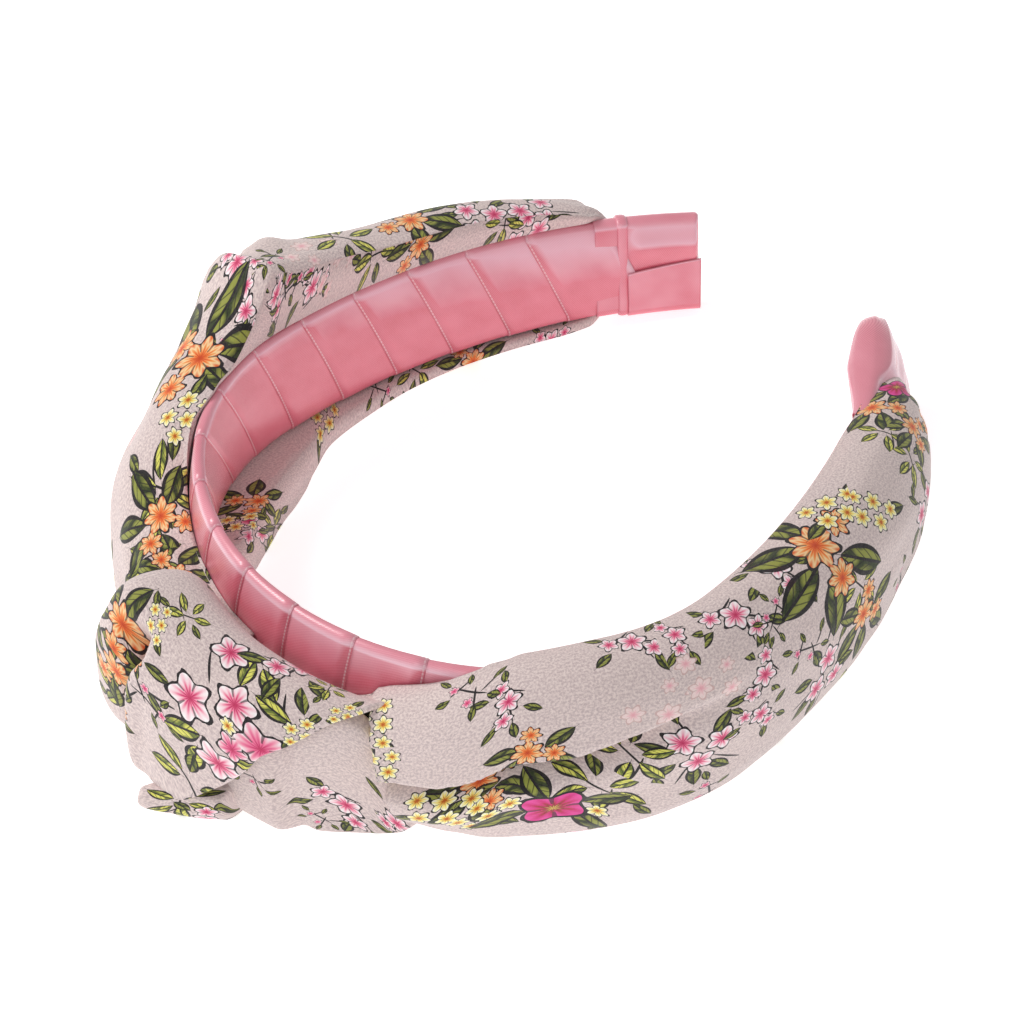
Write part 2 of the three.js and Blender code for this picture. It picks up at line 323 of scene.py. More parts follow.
def put(tree, kind, values=None, **settings):
    """A new node of this kind, with its settings and its inputs."""
    node = tree.nodes.new("ShaderNode" + kind)
    for key, value in settings.items():
        setattr(node, key, value)
    fill(tree, node, values or {})
    return node


def maths(tree, operation, a, b=None, c=None):
    values = {i: x for i, x in enumerate((a, b, c)) if x is not None}
    return put(tree, "Math", values, operation=operation).outputs[0]


def blend_colour(tree, share, a, b):
    ends = [x if isinstance(x, bpy.types.NodeSocket) else (*x, 1)[:4] for x in (a, b)]
    return put(tree, "Mix", {0: share, 6: ends[0], 7: ends[1]}, data_type="RGBA").outputs[2]


def cloud(tree, where, scale, detail, roughness=0.5):
    """Soft random patches."""
    values = {"Vector": where, "Scale": scale, "Detail": detail, "Roughness": roughness}
    return put(tree, "TexNoise", values).outputs[0]


def bump(tree, height, strength, distance):
    return put(tree, "Bump", {"Height": height, "Strength": strength, "Distance": distance}).outputs[0]


def ramp(tree, value, stops):
    node = put(tree, "ValToRGB", {0: value})
    stops_now = node.color_ramp.elements
    while len(stops_now) < len(stops):
        stops_now.new(1)
    for element, (at, colour) in zip(stops_now, stops):
        element.position = at
        element.color = (*colour, 1)
    return node.outputs[0]


def fade_in(tree, value, start, end):
    """Black up to start and white from end on."""
    return ramp(tree, value, [(start, (0, 0, 0)), (end, (1, 1, 1))])


def new_material(name):
    material = bpy.data.materials.new(name)
    material.use_nodes = True
    tree = material.node_tree
    tree.nodes.clear()
    shader = put(tree, "BsdfPrincipled")
    out = put(tree, "OutputMaterial")
    tree.links.new(shader.outputs[0], out.inputs[0])
    return material, tree, shader


def new_look(name, outputs):
    """A node group that takes a place and gives the named outputs."""
    group = bpy.data.node_groups.new(name, "ShaderNodeTree")
    group.interface.new_socket("Place", in_out="INPUT", socket_type="NodeSocketVector")
    for title, kind in outputs:
        group.interface.new_socket(title, in_out="OUTPUT", socket_type=kind)
    start = group.nodes.new("NodeGroupInput")
    end = group.nodes.new("NodeGroupOutput")
    return group, start.outputs[0], end


# ---- the printed bouquets ------------------------------------------------------------------------
# Every motif is drawn once, in a unit circle. nearest() lays it in many places: it turns a place on the cloth
# into the own coordinates of whichever spot it is closest to.

INK = (0.012, 0.010, 0.012)
TWIG_WIDE = 0.22  # half the width of a twig's stroke


def nearest(tree, where, spots):
    """spots are (u, w, angle in degrees, half length, half width) in the cloth's millimetres."""
    best = best_far = None
    for u, w, angle, long, wide in spots:
        local = put(
            tree,
            "Mapping",
            {0: where, 1: (u, w, 0), 2: (0, 0, math.radians(angle)), 3: (long, wide, 1)},
            vector_type="TEXTURE",
        ).outputs[0]
        far = put(tree, "VectorMath", {0: local}, operation="LENGTH").outputs[1]
        if best is None:
            best, best_far = local, far
            continue
        closer = maths(tree, "LESS_THAN", far, best_far)
        choose = put(tree, "Mix", {0: closer, 4: best, 5: local}, data_type="VECTOR")
        best, best_far = choose.outputs[1], maths(tree, "MINIMUM", far, best_far)
    return best, best_far


def polar(tree, place_socket):
    split = put(tree, "SeparateXYZ", {0: place_socket})
    far = put(tree, "VectorMath", {0: place_socket}, operation="LENGTH").outputs[1]
    angle = maths(tree, "ARCTAN2", split.outputs[1], split.outputs[0])
    return split.outputs[0], split.outputs[1], far, angle


def draw_flower(tree, local, lobes, tones, ink_colour=INK):
    """A round flower: colours run out from its middle to an inked edge. Returns its colour and mask."""
    _, _, far, angle = polar(tree, local)
    wave = maths(tree, "COSINE", maths(tree, "MULTIPLY", angle, lobes))
    rough = cloud(tree, local, 3.1, 2.0)
    edge = maths(tree, "MULTIPLY_ADD", wave, 0.15, 0.72)
    edge = maths(tree, "MULTIPLY_ADD", rough, 0.25, edge)
    share = maths(tree, "DIVIDE", far, maths(tree, "SUBTRACT", edge, 0.06))
    streaks = maths(tree, "SINE", maths(tree, "MULTIPLY", angle, lobes * 3.0))
    streaked = maths(tree, "MULTIPLY_ADD", streaks, 0.13, share)
    colour = ramp(tree, streaked, tones)
    between = maths(tree, "LESS_THAN", wave, -0.9)
    outside = maths(tree, "GREATER_THAN", share, 0.42)
    gap = maths(tree, "MULTIPLY", between, outside)
    ink_edge = maths(tree, "GREATER_THAN", maths(tree, "MULTIPLY_ADD", rough, 0.3, share), 1.02)
    ink = maths(tree, "MAXIMUM", maths(tree, "MULTIPLY", gap, 0.75), ink_edge)
    return blend_colour(tree, ink, colour, ink_colour), maths(tree, "LESS_THAN", share, 1.0)


def draw_leaf(tree, local, light, dark):
    """A pointed leaf with an inked edge and ribs."""
    along, across, _, _ = polar(tree, local)
    body = maths(tree, "SUBTRACT", 1.0, maths(tree, "MULTIPLY", along, along))
    off = maths(tree, "ABSOLUTE", across)
    share = maths(tree, "DIVIDE", off, maths(tree, "MAXIMUM", body, 0.02))
    mask = maths(tree, "LESS_THAN", share, 1.0)
    rib = maths(tree, "LESS_THAN", off, 0.1)
    slope = maths(tree, "MULTIPLY_ADD", off, 0.7, along)
    veins = maths(tree, "GREATER_THAN", maths(tree, "SINE", maths(tree, "MULTIPLY", slope, 17.0)), 0.82)
    ink = maths(tree, "MAXIMUM", maths(tree, "GREATER_THAN", share, 0.68), rib)
    ink = maths(tree, "MAXIMUM", ink, maths(tree, "MULTIPLY", veins, 0.7))
    patch = fade_in(tree, cloud(tree, local, 1.3, 1.0), 0.42, 0.58)
    return blend_colour(tree, ink, blend_colour(tree, patch, dark, light), INK), mask


# Tones from a flower's middle to its edge, and the leaves' light and dark.
PINK_TONES = [
    (0.0, (0.46, 0.02, 0.08)), (0.16, (0.62, 0.04, 0.15)), (0.36, (0.84, 0.20, 0.33)),
    (0.6, (0.93, 0.62, 0.68)), (0.95, (0.96, 0.92, 0.92)),
]
ROSE_TONES = [
    (0.0, (0.50, 0.04, 0.01)), (0.22, (0.80, 0.12, 0.02)), (0.42, (0.88, 0.30, 0.07)),
    (0.65, (0.93, 0.68, 0.36)), (0.95, (0.76, 0.14, 0.03)),
]
DAISY_TONES = [
    (0.0, (0.45, 0.08, 0.01)), (0.26, (0.62, 0.16, 0.01)), (0.34, (0.93, 0.72, 0.12)),
    (0.6, (0.95, 0.86, 0.35)), (0.9, (0.95, 0.93, 0.80)),
]
POPPY_TONES = [
    (0.0, (0.80, 0.62, 0.10)), (0.14, (0.20, 0.01, 0.02)), (0.34, (0.42, 0.01, 0.04)),
    (0.5, (0.60, 0.01, 0.16)), (0.9, (0.76, 0.06, 0.33)),
]
DEEP_TONES = [
    (0.0, (0.45, 0.01, 0.06)), (0.2, (0.70, 0.06, 0.20)), (0.5, (0.86, 0.22, 0.36)),
    (0.75, (0.92, 0.52, 0.60)), (0.95, (0.93, 0.80, 0.82)),
]
FAINT_TONES = [
    (0.0, (0.78, 0.34, 0.40)), (0.3, (0.84, 0.52, 0.54)), (0.6, (0.88, 0.70, 0.68)),
    (0.95, (0.80, 0.62, 0.60)),
]
FAINT_INK = (0.62, 0.42, 0.40)
LEAF_LIGHT, LEAF_DARK = (0.30, 0.32, 0.06), (0.03, 0.045, 0.012)
LIME_LIGHT, LIME_DARK = (0.74, 0.72, 0.14), (0.14, 0.18, 0.03)

pink = partial(draw_flower, lobes=5.0, tones=PINK_TONES)
rose = partial(draw_flower, lobes=7.0, tones=ROSE_TONES)
daisy = partial(draw_flower, lobes=6.0, tones=DAISY_TONES)
poppy = partial(draw_flower, lobes=4.0, tones=POPPY_TONES)
deep_pink = partial(draw_flower, lobes=5.0, tones=DEEP_TONES)
faint_rose = partial(draw_flower, lobes=6.0, tones=FAINT_TONES, ink_colour=FAINT_INK)
lime_leaf = partial(draw_leaf, light=LIME_LIGHT, dark=LIME_DARK)
leaf = partial(draw_leaf, light=LEAF_LIGHT, dark=LEAF_DARK)


def lay(tree, ground, where, spots, draw):
    """Draws one motif at every spot, over the ground so far. ground is (colour, mask)."""
    local, far = nearest(tree, where, spots)
    colour, mask = draw(tree, local)
    mask = maths(tree, "MULTIPLY", mask, maths(tree, "LESS_THAN", far, 1.25))
    return (
        blend_colour(tree, mask, ground[0], colour),
        maths(tree, "MAXIMUM", ground[1], mask),
    )


def twig(tree, local):
    _, _, far, _ = polar(tree, local)
    stroke = put(tree, "RGB")
    stroke.outputs[0].default_value = (*INK, 1)
    return stroke.outputs[0], maths(tree, "LESS_THAN", far, 1.0)


def twigs(*spots):
    """Strokes, each (u, w, angle, half length)."""
    return twig, [(*spot, TWIG_WIDE) for spot in spots]


def blooms(flower, *spots):
    """Round flowers, each (u, w, angle, half size)."""
    return flower, [(*spot, spot[-1]) for spot in spots]


# Bouquets, in millimetres round their own middles: rows of (motif, spots). A leaf's spot is
# (u, w, angle, half length, half width).
BOUQUETS = {
    "knot_cluster": (
        twigs((-8, 8, -20, 3), (-4, -4, 60, 3), (9, -6, 70, 3)),
        (lime_leaf, [
            (1.0, -8.0, 80, 3.2, 1.6), (5.0, -8.5, 40, 3.4, 1.7), (7.5, -5.0, 5, 3.2, 1.6),
            (-4.0, 9.0, 150, 3.4, 1.6), (-2.0, 12.5, 100, 3.0, 1.5), (5.5, 7.5, 200, 2.6, 1.3),
        ]),
        (leaf, [(10.5, -9.5, 60, 2.8, 1.3), (-9.5, 4.5, 170, 2.4, 1.0), (-8.5, 9.5, 200, 2.2, 1.0)]),
        blooms(pink, (-3.8, 3.2, 10, 4.6), (2.6, -1.6, 50, 4.3), (1.4, 10.2, 20, 4.0), (-3.2, -9.0, 70, 4.0)),
        blooms(deep_pink, (7.2, 2.4, 95, 4.6), (3.5, 5.2, 10, 2.6)),
        blooms(daisy, (2.6, 2.2, 0, 1.5)),
    ),
    "lime_leaves": (
        twigs((0, 0, 20, 4.5), (2, 2, 80, 3)),
        (lime_leaf, [
            (4.5, 1.5, 20, 3.4, 1.6), (1.0, 4.5, 80, 3.2, 1.5), (-4.0, 2.5, 140, 3.0, 1.4),
            (-4.5, -2.0, 205, 3.0, 1.4), (3.0, -3.2, -45, 2.8, 1.3),
        ]),
        (leaf, [(7.5, 4.5, 40, 2.4, 1.1), (-1.5, -5.0, 260, 2.6, 1.2)]),
    ),
    "bud_twig": (
        twigs((0, 0, 15, 4.5), (2, 1.5, 70, 2.6), (-2, -1, 120, 2.6), (4, -1, -50, 1.9)),
        (leaf, [
            (6.0, 2.0, 20, 1.7, 0.8), (3.0, 4.8, 75, 1.7, 0.8), (-4.0, 2.8, 130, 1.6, 0.8),
            (-6.0, -1.8, 195, 1.7, 0.8), (5.2, -3.0, -50, 1.6, 0.8), (-1.0, -3.0, 250, 1.5, 0.7),
        ]),
        blooms(deep_pink, (1.0, 2.5, 0, 1.3), (-3.2, -0.3, 30, 1.2)),
    ),
    "faint_roses": (
        blooms(
            faint_rose,
            (-4.5, 0.3, 0, 1.9), (0.2, 1.8, 30, 2.2), (4.5, -0.8, 60, 1.8), (1.0, -3, 10, 1.4),
        ),
    ),
    "pink_bouquet": (
        twigs((-7, -2, 12, 3), (5, 5, 50, 3.8), (8, -3, -20, 3.8)),
        (leaf, [
            (-4.5, 5.5, 130, 3.4, 1.5), (1.5, 7.5, 75, 3.2, 1.5), (7.5, 4.0, 25, 3.4, 1.6),
            (8.5, -1.0, -15, 3.2, 1.4), (-9.5, -2.5, 200, 2.4, 1.0), (-2.0, -7.5, 250, 3.2, 1.5),
        ]),
        blooms(pink, (-3.5, 0.5, 10, 4.2), (3.6, 1.2, 50, 4.0), (1.5, -5.2, 95, 3.8)),
    ),
    "pink_spray": (
        twigs((0, 0, 20, 5.2), (1, 1, 75, 3.8), (-2, -1, 140, 3.4)),
        (leaf, [
            (6.5, 2.5, 20, 2.0, 0.9), (3.0, 5.5, 75, 2.0, 0.9), (-5.5, 3.0, 140, 2.0, 0.9),
            (-6.0, -2.5, 205, 1.9, 0.8), (4.5, -2.5, -40, 1.9, 0.9),
        ]),
        blooms(pink, (0, 0, 0, 2.9), (-3.8, -0.5, 40, 2.0), (2.8, 2.6, 80, 2.1)),
    ),
    "rose_bouquet": (
        twigs((-6, 6, 130, 3), (7, 5, 40, 3)),
        (leaf, [
            (-5.0, 4.5, 130, 4.4, 2.3), (0.5, 6.8, 88, 4.4, 2.2), (6.0, 3.5, 30, 4.2, 2.2),
            (-6.5, -1.5, 190, 4.0, 2.0), (5.5, -3.5, -35, 4.0, 2.0),
        ]),
        blooms(rose, (-1.2, -0.2, 20, 4.2), (4.2, 0.8, 70, 3.0), (-0.5, -5.2, 10, 2.8)),
    ),
    "daisy_cluster": (
        (leaf, [(-4, 2.5, 150, 2.4, 1.1), (4.5, -2, -30, 2.4, 1.1)]),
        blooms(
            daisy,
            (-1.8, 1.6, 0, 1.9), (1.7, 1.3, 30, 1.8), (0.2, -1.6, 60, 1.9), (3.6, -1.5, 15, 1.7),
            (-3.2, -1.5, 45, 1.7),
        ),
    ),
    "poppy_bouquet": (
        (leaf, [
            (-6, 3, 150, 3.8, 1.9), (6, 3, 30, 3.8, 1.9), (5, -4.5, -45, 3.6, 1.7), (-4, -5, 225, 3.4, 1.7),
        ]),
        blooms(poppy, (0, 0, 20, 5.4)),
        blooms(daisy, (5.5, -0.5, 0, 1.8), (-5.8, -1.2, 0, 1.8)),
    ),
}


def bouquet_look(kind):
    """The node group that draws one bouquet round (0, 0)."""
    found = bpy.data.node_groups.get(kind)
    if found:
        return found
    group, where, end = new_look(kind, (("Colour", "NodeSocketColor"), ("Mask", "NodeSocketFloat")))
    ground = (put(group, "RGB").outputs[0], maths(group, "ADD", 0.0, 0.0))
    for draw, spots in BOUQUETS[kind]:
        ground = lay(group, ground, where, spots, draw)
    group.links.new(ground[0], end.inputs[0])
    group.links.new(ground[1], end.inputs[1])
    return group


BOUQUET_REACH = 15.0  # a bouquet draws nothing further out than this, in its own millimetres
CREPE_WARMTH = (1.02, 0.96, 0.92)


def crepe_material(name, bouquets, colours):
    """Printed crepe. bouquets is {kind: [(u, w, angle, size)]} in the cloth's millimetres."""
    material, tree, shader = new_material(name)
    flat = put(tree, "UVMap", uv_map="cloth_mm").outputs[0]
    grain = cloud(tree, flat, 2.1, 3.0, 0.7)
    pebble = cloud(tree, flat, 0.9, 2.0)
    drift = cloud(tree, flat, 0.05, 1.0)
    ground = blend_colour(tree, fade_in(tree, grain, 0.40, 0.60), colours.crepe_dark, colours.crepe_light)
    warm = tuple(x * y for x, y in zip(colours.crepe_light, CREPE_WARMTH))
    ground = blend_colour(tree, maths(tree, "MULTIPLY", drift, 0.35), ground, warm)
    for kind, spots in bouquets.items():
        local, far = nearest(tree, flat, [(u, w, angle, size, size) for u, w, angle, size in spots])
        look = tree.nodes.new("ShaderNodeGroup")
        look.node_tree = bouquet_look(kind)
        tree.links.new(local, look.inputs[0])
        mask = maths(tree, "MULTIPLY", look.outputs[1], maths(tree, "LESS_THAN", far, BOUQUET_REACH))
        mask = maths(tree, "MULTIPLY", mask, maths(tree, "MULTIPLY_ADD", grain, 0.2, 0.88))
        ground = blend_colour(tree, mask, ground, look.outputs[0])
    height = maths(tree, "MULTIPLY_ADD", pebble, 0.6, grain)
    fill(tree, shader, {
        "Base Color": ground,
        "Roughness": 0.82,
        "Sheen Weight": 0.25,
        "Sheen Roughness": 0.5,
        "Specular IOR Level": 0.25,
        "Normal": bump(tree, height, 0.5, 0.00016),
    })
    return material


TWILL_STEP, TWILL_SLOPE = 0.45, 0.6  # millimetres between the twill's lines, and how they lean
STITCH_STEP = 0.95  # millimetres between the dots of the selvedge
SELVEDGE_AT, SELVEDGE_HALF = 0.45, 0.17  # millimetres in from the ribbon's edge
# How much of the painted highlight's colour shows, by how far the face leans upward: a highlight painted
# where light from above would fall.
PAINTED_HIGHLIGHT_STOPS = [(0.14, (0, 0, 0)), (0.32, (0.8, 0.8, 0.8)), (0.6, (0.35, 0.35, 0.35)), (0.9, (0.2, 0.2, 0.2))]


def satin_material(name, colours, selvedge):
    """Satin ribbon: floats that catch the light, a fine twill, a painted highlight where the face leans
    upward, and a dotted line along its edges if asked.
    """
    material, tree, shader = new_material(name)
    flat = put(tree, "UVMap", uv_map="cloth_mm").outputs[0]
    split = put(tree, "SeparateXYZ", {0: flat})
    along, across = split.outputs[0], split.outputs[1]
    drift = cloud(tree, flat, 0.09, 2.0)
    stretched = put(tree, "Mapping", {0: flat, 3: (0.35, 3.2, 1)}).outputs[0]
    floats = cloud(tree, stretched, 1.6, 2.0)
    diagonal = maths(tree, "MULTIPLY_ADD", across, TWILL_SLOPE, along)
    twill = maths(tree, "SINE", maths(tree, "MULTIPLY", diagonal, 2 * math.pi / TWILL_STEP))
    colour = blend_colour(tree, fade_in(tree, drift, 0.35, 0.65), colours.satin_dark, colours.satin_light)
    fine = maths(tree, "MULTIPLY", fade_in(tree, floats, 0.4, 0.7), 0.35)
    colour = blend_colour(tree, fine, colour, colours.satin_light)
    # Painted highlight: the colour turns pale where the face leans upward, standing in for the sheen of light
    # from above.
    upward = put(tree, "SeparateXYZ", {0: put(tree, "NewGeometry").outputs["Normal"]}).outputs[2]
    painted_highlight_share = maths(tree, "MULTIPLY_ADD", drift, 0.12, maths(tree, "SUBTRACT", upward, 0.1))
    colour = blend_colour(tree, ramp(tree, painted_highlight_share, PAINTED_HIGHLIGHT_STOPS), colour, colours.satin_painted_highlight)
    if selvedge:
        off_line = maths(tree, "ABSOLUTE", maths(tree, "SUBTRACT", across, SELVEDGE_AT))
        line = maths(tree, "LESS_THAN", off_line, SELVEDGE_HALF)
        dots = maths(tree, "SINE", maths(tree, "MULTIPLY", along, 2 * math.pi / STITCH_STEP))
        dots = maths(tree, "MULTIPLY_ADD", maths(tree, "GREATER_THAN", dots, -0.1), 0.55, 0.3)
        colour = blend_colour(tree, maths(tree, "MULTIPLY", line, dots), colour, colours.selvedge)
    height = maths(tree, "MULTIPLY_ADD", twill, 0.25, floats)
    fill(tree, shader, {
        "Base Color": colour,
        "Roughness": maths(tree, "MULTIPLY_ADD", twill, 0.05, 0.30),
        "Specular IOR Level": 0.75,
        "Anisotropic": 0.6,
        "Sheen Weight": 0.2,
        "Sheen Roughness": 0.35,
        "Coat Weight": 0.35,
        "Coat Roughness": 0.22,
        "Tangent": put(tree, "Tangent", direction_type="UV_MAP", uv_map="cloth_mm").outputs[0],
        "Normal": bump(tree, height, 0.4, 0.00006),
    })
    return material


def plastic_material(name):
    """Moulded band plastic, slightly mottled, with a fine eggshell surface."""
    material, tree, shader = new_material(name)
    where = put(tree, "TexCoord").outputs["Object"]
    mottle, grain = cloud(tree, where, 60.0, 3.0), cloud(tree, where, 2600.0, 2.0)
    fill(tree, shader, {
        "Base Color": blend_colour(tree, mottle, (0.70, 0.68, 0.64), (0.80, 0.79, 0.76)),
        "Roughness": maths(tree, "MULTIPLY_ADD", grain, 0.15, 0.38),
        "Normal": bump(tree, grain, 0.2, 0.00004),
    })
    return material


def glue_material(name):
    """Set hot glue: milky, a little yellow, with bubbles and a wavy skin."""
    material, tree, shader = new_material(name)
    where = put(tree, "TexCoord").outputs["Object"]
    milk = cloud(tree, where, 350.0, 2.0)
    bubbles = put(tree, "TexVoronoi", {"Vector": where, "Scale": 1400.0}).outputs[0]
    fill(tree, shader, {
        "Base Color": blend_colour(tree, milk, (0.72, 0.63, 0.42), (0.86, 0.80, 0.64)),
        "Roughness": maths(tree, "MULTIPLY_ADD", bubbles, 0.2, 0.2),
        "Normal": bump(tree, milk, 0.4, 0.0002),
    })
    return material


# ---- the band and its ribbons --------------------------------------------------------------------
EDGE_ROUND = 1.5
INNER_SHARE, EDGE_SHARE = 0.42, 0.08  # of a turn of ribbon: over the inner face, and round each edge
CORE_AROUND = 48  # points round the plastic band's section
CORE_ROUND = 14  # the last stretch of the plastic band, where its sections lie closer together
RIGHT_TIP_POWER, RIGHT_TIP_NARROWS = 2.3, 15  # the shape of the round end, and how long it is
FIRST_SEAM = 0.6  # where one seam crosses the band's top edge
INNER_LEAN_CROWN, INNER_LEAN_ARM = 19.0, 8.8  # how far a seam moves along the band down the inner face
CROWN_STRETCH = 1.06  # the turns are a little further apart right of the crown
RIBBON_STEPS, RIBBON_ACROSS = 44, 8  # points along each turn, and across the ribbon
RIBBON_LIFT = 0.3  # how far a turn's covering edge stands over its hidden one
RIBBON_SWELL = 1.2  # how far the ribbon stands off the hollow inner face
RIBBON_SHORT = 6  # the winding starts and ends this far from the plan's ends
TIP_AROUND = 96  # points round a tip's section
TIP_OUT, TIP_INSET = 0.5, 0.5  # the left tip's ribbon, out from the band's faces and in from its edges
LEFT_TIP_BACK, LEFT_TIP_MOUTH, LEFT_TIP_END = 172.5, 178.6, 196.0
RIGHT_TIP_MOUTH, RIGHT_TIP_BACK, RIGHT_TIP_END = 179.0, 162.0, 200.0
RIGHT_TIP_ROUND = 176  # where the right tip starts to close
RIGHT_TIP_MIDDLE = 1.4  # the n that it closes to


def around_band(s, turn, sink, bulge=0.0, half=None, swell=0.0):
    """The band's section, sunk by sink, as turn goes 0 to 1: down the inner face and up the outer one."""
    half = (half_width(s) if half is None else half) - sink
    flat = half - EDGE_ROUND
    outer_edge = BAND_EDGE - sink
    down = np.clip(turn / INNER_SHARE, 0, 1)
    under = np.clip((turn - INNER_SHARE) / EDGE_SHARE, 0, 1) * math.pi
    up = np.clip((turn - INNER_SHARE - EDGE_SHARE) / INNER_SHARE, 0, 1)
    over = np.clip((turn - 1 + EDGE_SHARE) / EDGE_SHARE, 0, 1) * math.pi
    side = up * 2 - 1
    inner_swell = swell * (1 - (1 - 2 * down) ** 2)
    dome = (BAND_MIDDLE - BAND_EDGE + bulge) * (1 - side**2)
    on_inner, on_under = turn < INNER_SHARE, turn < INNER_SHARE + EDGE_SHARE
    on_outer = turn < 1 - EDGE_SHARE
    middle, reach = (sink + outer_edge) / 2, (outer_edge - sink) / 2
    n = np.where(
        on_inner,
        sink - inner_swell,
        np.where(
            on_under,
            middle - reach * np.cos(under),
            np.where(on_outer, outer_edge + dome, middle + reach * np.cos(over)),
        ),
    )
    v = np.where(
        on_inner,
        flat * (1 - 2 * down),
        np.where(
            on_under,
            -flat - EDGE_ROUND * np.sin(under),
            np.where(on_outer, flat * side, flat + EDGE_ROUND * np.sin(over)),
        ),
    )
    return n, v


def build_core():
    """The plastic band inside the ribbon, with one tip rounded off."""
    end = HALF_LENGTH - CORE_BACK
    rounded = end - CORE_ROUND * (1 - np.sin(np.linspace(0.05, 1.5, 18)))
    s = np.concatenate([np.linspace(-end, end - CORE_ROUND, 150), rounded])
    s_all, turn_all = np.meshgrid(s, np.arange(CORE_AROUND) / CORE_AROUND, indexing="ij")
    n, v = around_band(s_all, turn_all, RIBBON_THICK + GAP, half=tip_half(s_all))
    grid = place(s_all, n, v)
    core = outward(loft("plastic_band", grid, s, girth(n, v)))
    return finish_piece(core, plastic_material("band plastic"), ["band_core"])


def tip_half(s):
    """Half the band's width, narrowing to a round end at the right tip."""
    past = np.clip((s - (HALF_LENGTH - RIGHT_TIP_NARROWS)) / (RIGHT_TIP_NARROWS + 0.4), 0, 1)
    return half_width(s) * (1 - past**RIGHT_TIP_POWER) ** (1 / RIGHT_TIP_POWER)


def ribbon_edge(tau, pitch):
    """Where the ribbon's covering edge is, tau turns on: along the band, and the share of a turn round it."""
    turns = np.floor(tau)
    turn = tau - turns
    step = np.where(turns < 0, pitch * CROWN_STRETCH, pitch)
    start = FIRST_SEAM - turns * step
    lean = mix(INNER_LEAN_CROWN, INNER_LEAN_ARM, smooth(np.abs(start), 40, 85))
    down = np.clip(turn / INNER_SHARE, 0, 1)
    up = np.clip((turn - INNER_SHARE - EDGE_SHARE) / INNER_SHARE, 0, 1)
    return start - lean * down - (step - lean) * up, turn


def build_ribbon(sizes, colours):
    """One long satin ribbon wound round the band, each turn lapping over the one before."""
    width, pitch, thick = sizes.ribbon_width / MM, sizes.ribbon_pitch / MM, sizes.ribbon_thickness / MM
    reach = HALF_LENGTH - RIBBON_SHORT
    first = -round((reach - FIRST_SEAM) / (pitch * CROWN_STRETCH) * RIBBON_STEPS)
    last = round((reach + FIRST_SEAM - width) / pitch * RIBBON_STEPS)
    tau = np.arange(first, last + 1) / RIBBON_STEPS
    across = np.linspace(0, 1, RIBBON_ACROSS)
    lift = RIBBON_LIFT * (1 - across) - 0.06 * hump(across, 0, 0.05)
    both = np.concatenate([across, across[::-1]])
    depth = np.concatenate([RIBBON_LIFT - lift, (RIBBON_LIFT - lift + thick)[::-1]])
    edge, turn = ribbon_edge(tau, pitch)
    s = edge[:, None] - both * width
    n, v = around_band(s, np.broadcast_to(turn[:, None], s.shape), depth, swell=RIBBON_SWELL)
    grid = place(s, n, v)
    length = np.concatenate([[0], np.cumsum(np.linalg.norm(np.diff(grid[:, 0], axis=0), axis=1))]) / MM
    w = np.broadcast_to(np.append(both, both[0]) * width, (len(tau), len(both) + 1))
    ribbon = outward(loft("wound_ribbon", grid, length, w))
    finish_piece(ribbon, satin_material("rose satin", colours, True), ["ribbon_spiral"])
    return ribbon


def build_left_tip(material):
    """Ribbon folded flat over the left tip."""
    closing = np.linspace(0, math.pi / 2, 12)
    straight = np.linspace(LEFT_TIP_BACK, LEFT_TIP_END - 1, 48)[:-1]
    reach = np.concatenate([straight, LEFT_TIP_END - 1 + np.sin(closing)])
    shut = np.concatenate([np.ones(len(straight)), np.cos(closing)])[:, None]
    s, turn = np.meshgrid(-reach, np.arange(TIP_AROUND) / TIP_AROUND, indexing="ij")
    n, v = around_band(s, turn, -TIP_OUT, 0.2, half_width(s) - TIP_INSET)
    roll = 1.4 * hump(v, 5.2, 3.6) * smooth(np.abs(s), 179, 183)
    n = n - np.where(turn < INNER_SHARE, roll, 0)
    n = BAND_EDGE / 2 + (n - BAND_EDGE / 2) * mix(0.3, 1.0, shut)
    v = v * mix(0.95, 1.0, shut)
    tip = outward(loft("left_tip_fold", place(s, n, v), s[:, 0], girth(n, v)))
    finish_piece(tip, material, ["left_tip_ribbon"])


def build_right_tip(material):
    """Ribbon gathered over the right tip: a blunt, round-ended sock, longer on its inner side."""
    closing = 0.6 + 0.4 * np.sin(np.linspace(0, math.pi / 2, 40))
    t = np.concatenate([np.linspace(0, 0.6, 40)[:-1], closing])[:, None]
    turn = np.arange(TIP_AROUND)[None, :] / TIP_AROUND
    over_top = np.maximum(smooth(turn, 0.86, 0.96), 1 - smooth(turn, 0.30, 0.44))
    mouth = mix(RIGHT_TIP_MOUTH, RIGHT_TIP_BACK, over_top)
    s = mouth + (RIGHT_TIP_END - mouth) * t
    turn = np.broadcast_to(turn, s.shape)
    closed = np.clip((s - RIGHT_TIP_ROUND) / (RIGHT_TIP_END - RIGHT_TIP_ROUND), 0, 1)
    shut = np.sqrt(np.clip(1 - closed**2.2, 0, 1))
    half = (half_width(s) + 1.3) * (1 - 0.1 * closed**4)
    n, v = around_band(s, turn, -0.6, 1.6, half)
    inner_side = np.clip((RIGHT_TIP_MIDDLE - n) / 2, 0, 1)
    n = np.where(n < RIGHT_TIP_MIDDLE, n - 3.6 * smooth(s, 160, 181) * inner_side, n)
    n = np.where(n > 3.2, n + 1.8 * smooth(s, 174, 180), n)
    n = RIGHT_TIP_MIDDLE + (n - RIGHT_TIP_MIDDLE) * shut
    v = v * (0.2 + 0.8 * np.sqrt(np.clip(1 - closed**12, 0, 1)))
    pleats = 0.28 * np.sin(v * 1.15 + 1.2 + 0.25 * np.sin(s * 0.3)) * smooth(s, 177, 184) * shut
    n = n + np.where(turn > INNER_SHARE, pleats, 0.6 * pleats)
    u = np.broadcast_to(s[:, :1], (len(s), TIP_AROUND + 1))
    tip = outward(loft("right_tip_fold", place(s, n, v), u, girth(n, v)))
    finish_piece(tip, material, ["right_tip_ribbon"])


